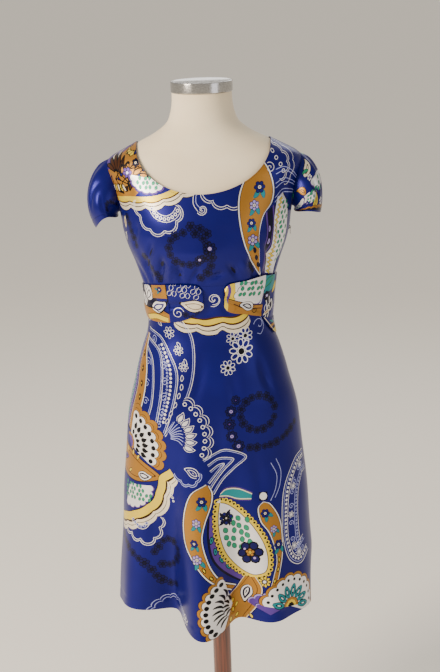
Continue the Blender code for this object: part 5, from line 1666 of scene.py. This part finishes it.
SASH = (
    # name, node, edges, lift, the angle of its middle, print
    ("sash_wing", "belt_wing_right", WING, wing_lift, 90.0, WING_PRINT),
    ("sash_loop", "belt_loop_left", LOOP, loop_lift, 90.0, LOOP_PRINT),
    ("sash_knot", "belt_knot", KNOT, knot_lift, 90.0, KNOT_PRINT),
    ("sash_back", "belt_back", BACK_BAND, back_lift, 270.0, BAND_PRINT),
)
TAIL_OUTLINE = np.array([(-0.025, 0.0), (0.025, 0.0), (0.025, 0.030), (-0.025, 0.030)])
FOLDED = {"material": printed_satin("sash_satin"), "spacing": 0.003, "held": "folded",
          "rests_on": ("bodice_front", "skirt_front"), "slot": "sash_satin"}
for name, node, edges, lift, centre, drawing in SASH:
    sewn_piece(name, node, sash_place(edges, lift, centre), sash_outline(edges, centre), drawing, **FOLDED)
sewn_piece("sash_tail", "belt_tail", tail_place, TAIL_OUTLINE, TAIL_PRINT, **FOLDED)

# ================================================================ the side zip
# A concealed zip in the side seam under the wearer's left arm: its teeth lie behind the seam. The die-cast
# slider and its hanging pull tab are enamelled dark, and the tab's pin turns under the slider's bridge.
SLIDER_HEIGHT = 1.180
SLIDER_HALF_WIDTH = 0.0023
SLIDER_HALF_LENGTH = 0.0042
SLIDER_THICKNESS = 0.0016
BRIDGE_HALF_WIDTH = 0.0007
BRIDGE_PROFILE = (
    # out, up
    (0.0010, 0.0030),
    (0.0042, 0.0024),
    (0.0042, -0.0018),
    (0.0010, -0.0026),
    (0.0010, -0.0017),
    (0.0035, -0.0012),
    (0.0035, 0.0017),
    (0.0010, 0.0021),
)
PULL_LENGTH = 0.0130
PULL_HALF_WIDTH = 0.0018
PULL_HALF_THICKNESS = 0.0004
PULL_TIP_HALF_WIDTH = 0.0008
PULL_TAPER_START = -0.0060
WINDOW_HALF_WIDTH = 0.0011
WINDOW_END = -0.0036
PIN_RADIUS = 0.0005
PIN_OUT = 0.0027
PIN_UP = 0.0002
PULL_TOP = -0.00035
ENAMEL_EDGE = 0.00012         # the rounding of its cast edges


def dark_enamel():
    """Zinc under a thin dark enamel: small sharp reflections, a little worn to metal."""
    metal, tree, shader, place = new_material("dark_enamelled_zinc", Roughness=0.34, Metallic=0.65)
    colour_between(tree, shader, noise(tree, place, 900.0, 3.0), 0.50, "#1d1b1c", 0.72, "#5d5550")
    return metal


def slider_frame():
    """The slider's place on the side seam: x out from the cloth, y level, z up the seam."""
    levels = np.array([SLIDER_HEIGHT - 0.004, SLIDER_HEIGHT, SLIDER_HEIGHT + 0.004])
    low, middle, high = (Vector(point) for point in dress_point(np.zeros(3), levels, np.zeros(3)))
    upward = (high - low).normalized()
    level = Vector((0.0, 1.0, 0.0))
    turn = Matrix((level.cross(upward).normalized(), level, upward)).transposed().to_4x4()
    return Matrix.Translation(middle) @ turn


def extruded(shape, outline, plane, low, high):
    """Adds a flat outline with thickness to a bmesh. Plane turns (a, b, depth) into a point."""
    rings = [[shape.verts.new(plane(a, b, depth)) for a, b in outline] for depth in (low, high)]
    shape.faces.new(rings[0])
    shape.faces.new(reversed(rings[1]))
    for index in range(len(outline)):
        beside = (index + 1) % len(outline)
        shape.faces.new((rings[0][beside], rings[0][index], rings[1][index], rings[1][beside]))


def softened(shape):
    bmesh.ops.recalc_face_normals(shape, faces=shape.faces)
    bmesh.ops.bevel(shape, geom=list(shape.edges), offset=ENAMEL_EDGE, segments=2, affect="EDGES",
                    profile=0.5, clamp_overlap=True)


enamel = dark_enamel()
seam_frame = slider_frame()
slider_shape = bmesh.new()
neck = 0.62 * SLIDER_HALF_WIDTH
extruded(slider_shape, ((-SLIDER_HALF_WIDTH, -SLIDER_HALF_LENGTH * 0.2), (-neck, -SLIDER_HALF_LENGTH),
                        (neck, -SLIDER_HALF_LENGTH), (SLIDER_HALF_WIDTH, -SLIDER_HALF_LENGTH * 0.2),
                        (SLIDER_HALF_WIDTH, SLIDER_HALF_LENGTH), (-SLIDER_HALF_WIDTH, SLIDER_HALF_LENGTH)),
         lambda level, up, out: (out, level, up), SEAM_GAP, SLIDER_THICKNESS)
softened(slider_shape)
bridge_shape = bmesh.new()
extruded(bridge_shape, BRIDGE_PROFILE, lambda out, up, level: (out, level, up), -BRIDGE_HALF_WIDTH,
         BRIDGE_HALF_WIDTH)
softened(bridge_shape)
bridge_mesh = mesh_of("bridge", bridge_shape)
slider_shape.from_mesh(bridge_mesh)
bmesh.ops.transform(slider_shape, matrix=seam_frame, verts=slider_shape.verts)
solid_piece("zip_slider_body", slider_shape, enamel, "zip_slider")
pull_shape = bmesh.new()
extruded(pull_shape, ((-PULL_HALF_WIDTH, PULL_TOP), (-PULL_HALF_WIDTH, PULL_TAPER_START),
                      (-PULL_TIP_HALF_WIDTH, -PULL_LENGTH), (PULL_TIP_HALF_WIDTH, -PULL_LENGTH),
                      (PULL_HALF_WIDTH, PULL_TAPER_START), (PULL_HALF_WIDTH, PULL_TOP),
                      (WINDOW_HALF_WIDTH, PULL_TOP), (WINDOW_HALF_WIDTH, WINDOW_END),
                      (-WINDOW_HALF_WIDTH, WINDOW_END), (-WINDOW_HALF_WIDTH, PULL_TOP)),
         lambda level, up, out: (out, level, up), -PULL_HALF_THICKNESS, PULL_HALF_THICKNESS)
softened(pull_shape)
bmesh.ops.create_cone(pull_shape, cap_ends=True, segments=24, radius1=PIN_RADIUS, radius2=PIN_RADIUS,
                      depth=2.0 * PULL_HALF_WIDTH, matrix=Matrix.Rotation(math.radians(90), 4, "X"))
hinge = seam_frame @ Vector((PIN_OUT, 0.0, PIN_UP))
bmesh.ops.transform(pull_shape, matrix=Matrix.Translation(hinge), verts=pull_shape.verts)
solid_piece("zip_pull_tab", pull_shape, enamel, "zip_pull", body="zip_pull")

# ================================================================ floor, light and camera
# A plain pale floor, a large soft window-like light from the front left, a weak fill from the right and a
# pale surround. The camera stands 2.6 m in front, a little above the cap, and looks 15.9 degrees down.
LENS = 74.73                  # mm on a frame 36 mm high
CAMERA_PLACE = (0.018, -2.6, 1.71)
CAMERA_TILT = -15.9
CAMERA_ROLL = -2.0

floor_shape = bmesh.new()
bmesh.ops.create_grid(floor_shape, x_segments=2, y_segments=2, size=90.0)
floor_mesh = mesh_of("floor", floor_shape)
pale_floor = new_material("pale_floor", Base_Color=linear("#f7f2e8"), Roughness=0.9,
                          Emission_Color=linear("#f3eee6"), Emission_Strength=0.16)[0]
floor_mesh.materials.append(pale_floor)
floor = bpy.data.objects.new("floor", floor_mesh)
bpy.context.scene.collection.objects.link(floor)
floor.location.z = -0.001


def area_light(name, place, aim, size, watts, colour):
    light = bpy.data.lights.new(name, "AREA")
    light.shape = "RECTANGLE"
    light.size, light.size_y = size
    light.energy = watts
    light.color = linear(colour)[:3]
    lamp = bpy.data.objects.new(name, light)
    lamp.location = place
    lamp.rotation_euler = (Vector(aim) - Vector(place)).to_track_quat("-Z", "Y").to_euler()
    bpy.context.scene.collection.objects.link(lamp)


area_light("window", (-2.6, -1.9, 2.4), (0.0, 0.0, 1.0), (1.1, 1.6), 200.0, "#fff0dc")
area_light("fill", (2.8, -2.4, 1.6), (0.0, 0.0, 0.9), (1.6, 1.6), 14.0, "#f4f4ff")
area_light("back", (0.6, 2.6, 2.6), (0.0, 0.0, 1.0), (2.0, 1.4), 18.0, "#ffffff")
world = bpy.data.worlds.new("surround")
bpy.context.scene.world = world
world.use_nodes = True
world.node_tree.nodes["Background"].inputs[0].default_value = linear("#f4ece0")
world.node_tree.nodes["Background"].inputs[1].default_value = 0.60

view = bpy.data.cameras.new("camera")
view.sensor_fit = "VERTICAL"
view.sensor_height = 36.0
view.lens = LENS
camera = bpy.data.objects.new("camera", view)
camera.matrix_world = (Matrix.Translation(CAMERA_PLACE)
                       @ Matrix.Rotation(math.radians(90.0 + CAMERA_TILT), 4, "X")
                       @ Matrix.Rotation(math.radians(CAMERA_ROLL), 4, "Z"))
bpy.context.scene.collection.objects.link(camera)
bpy.context.scene.camera = camera
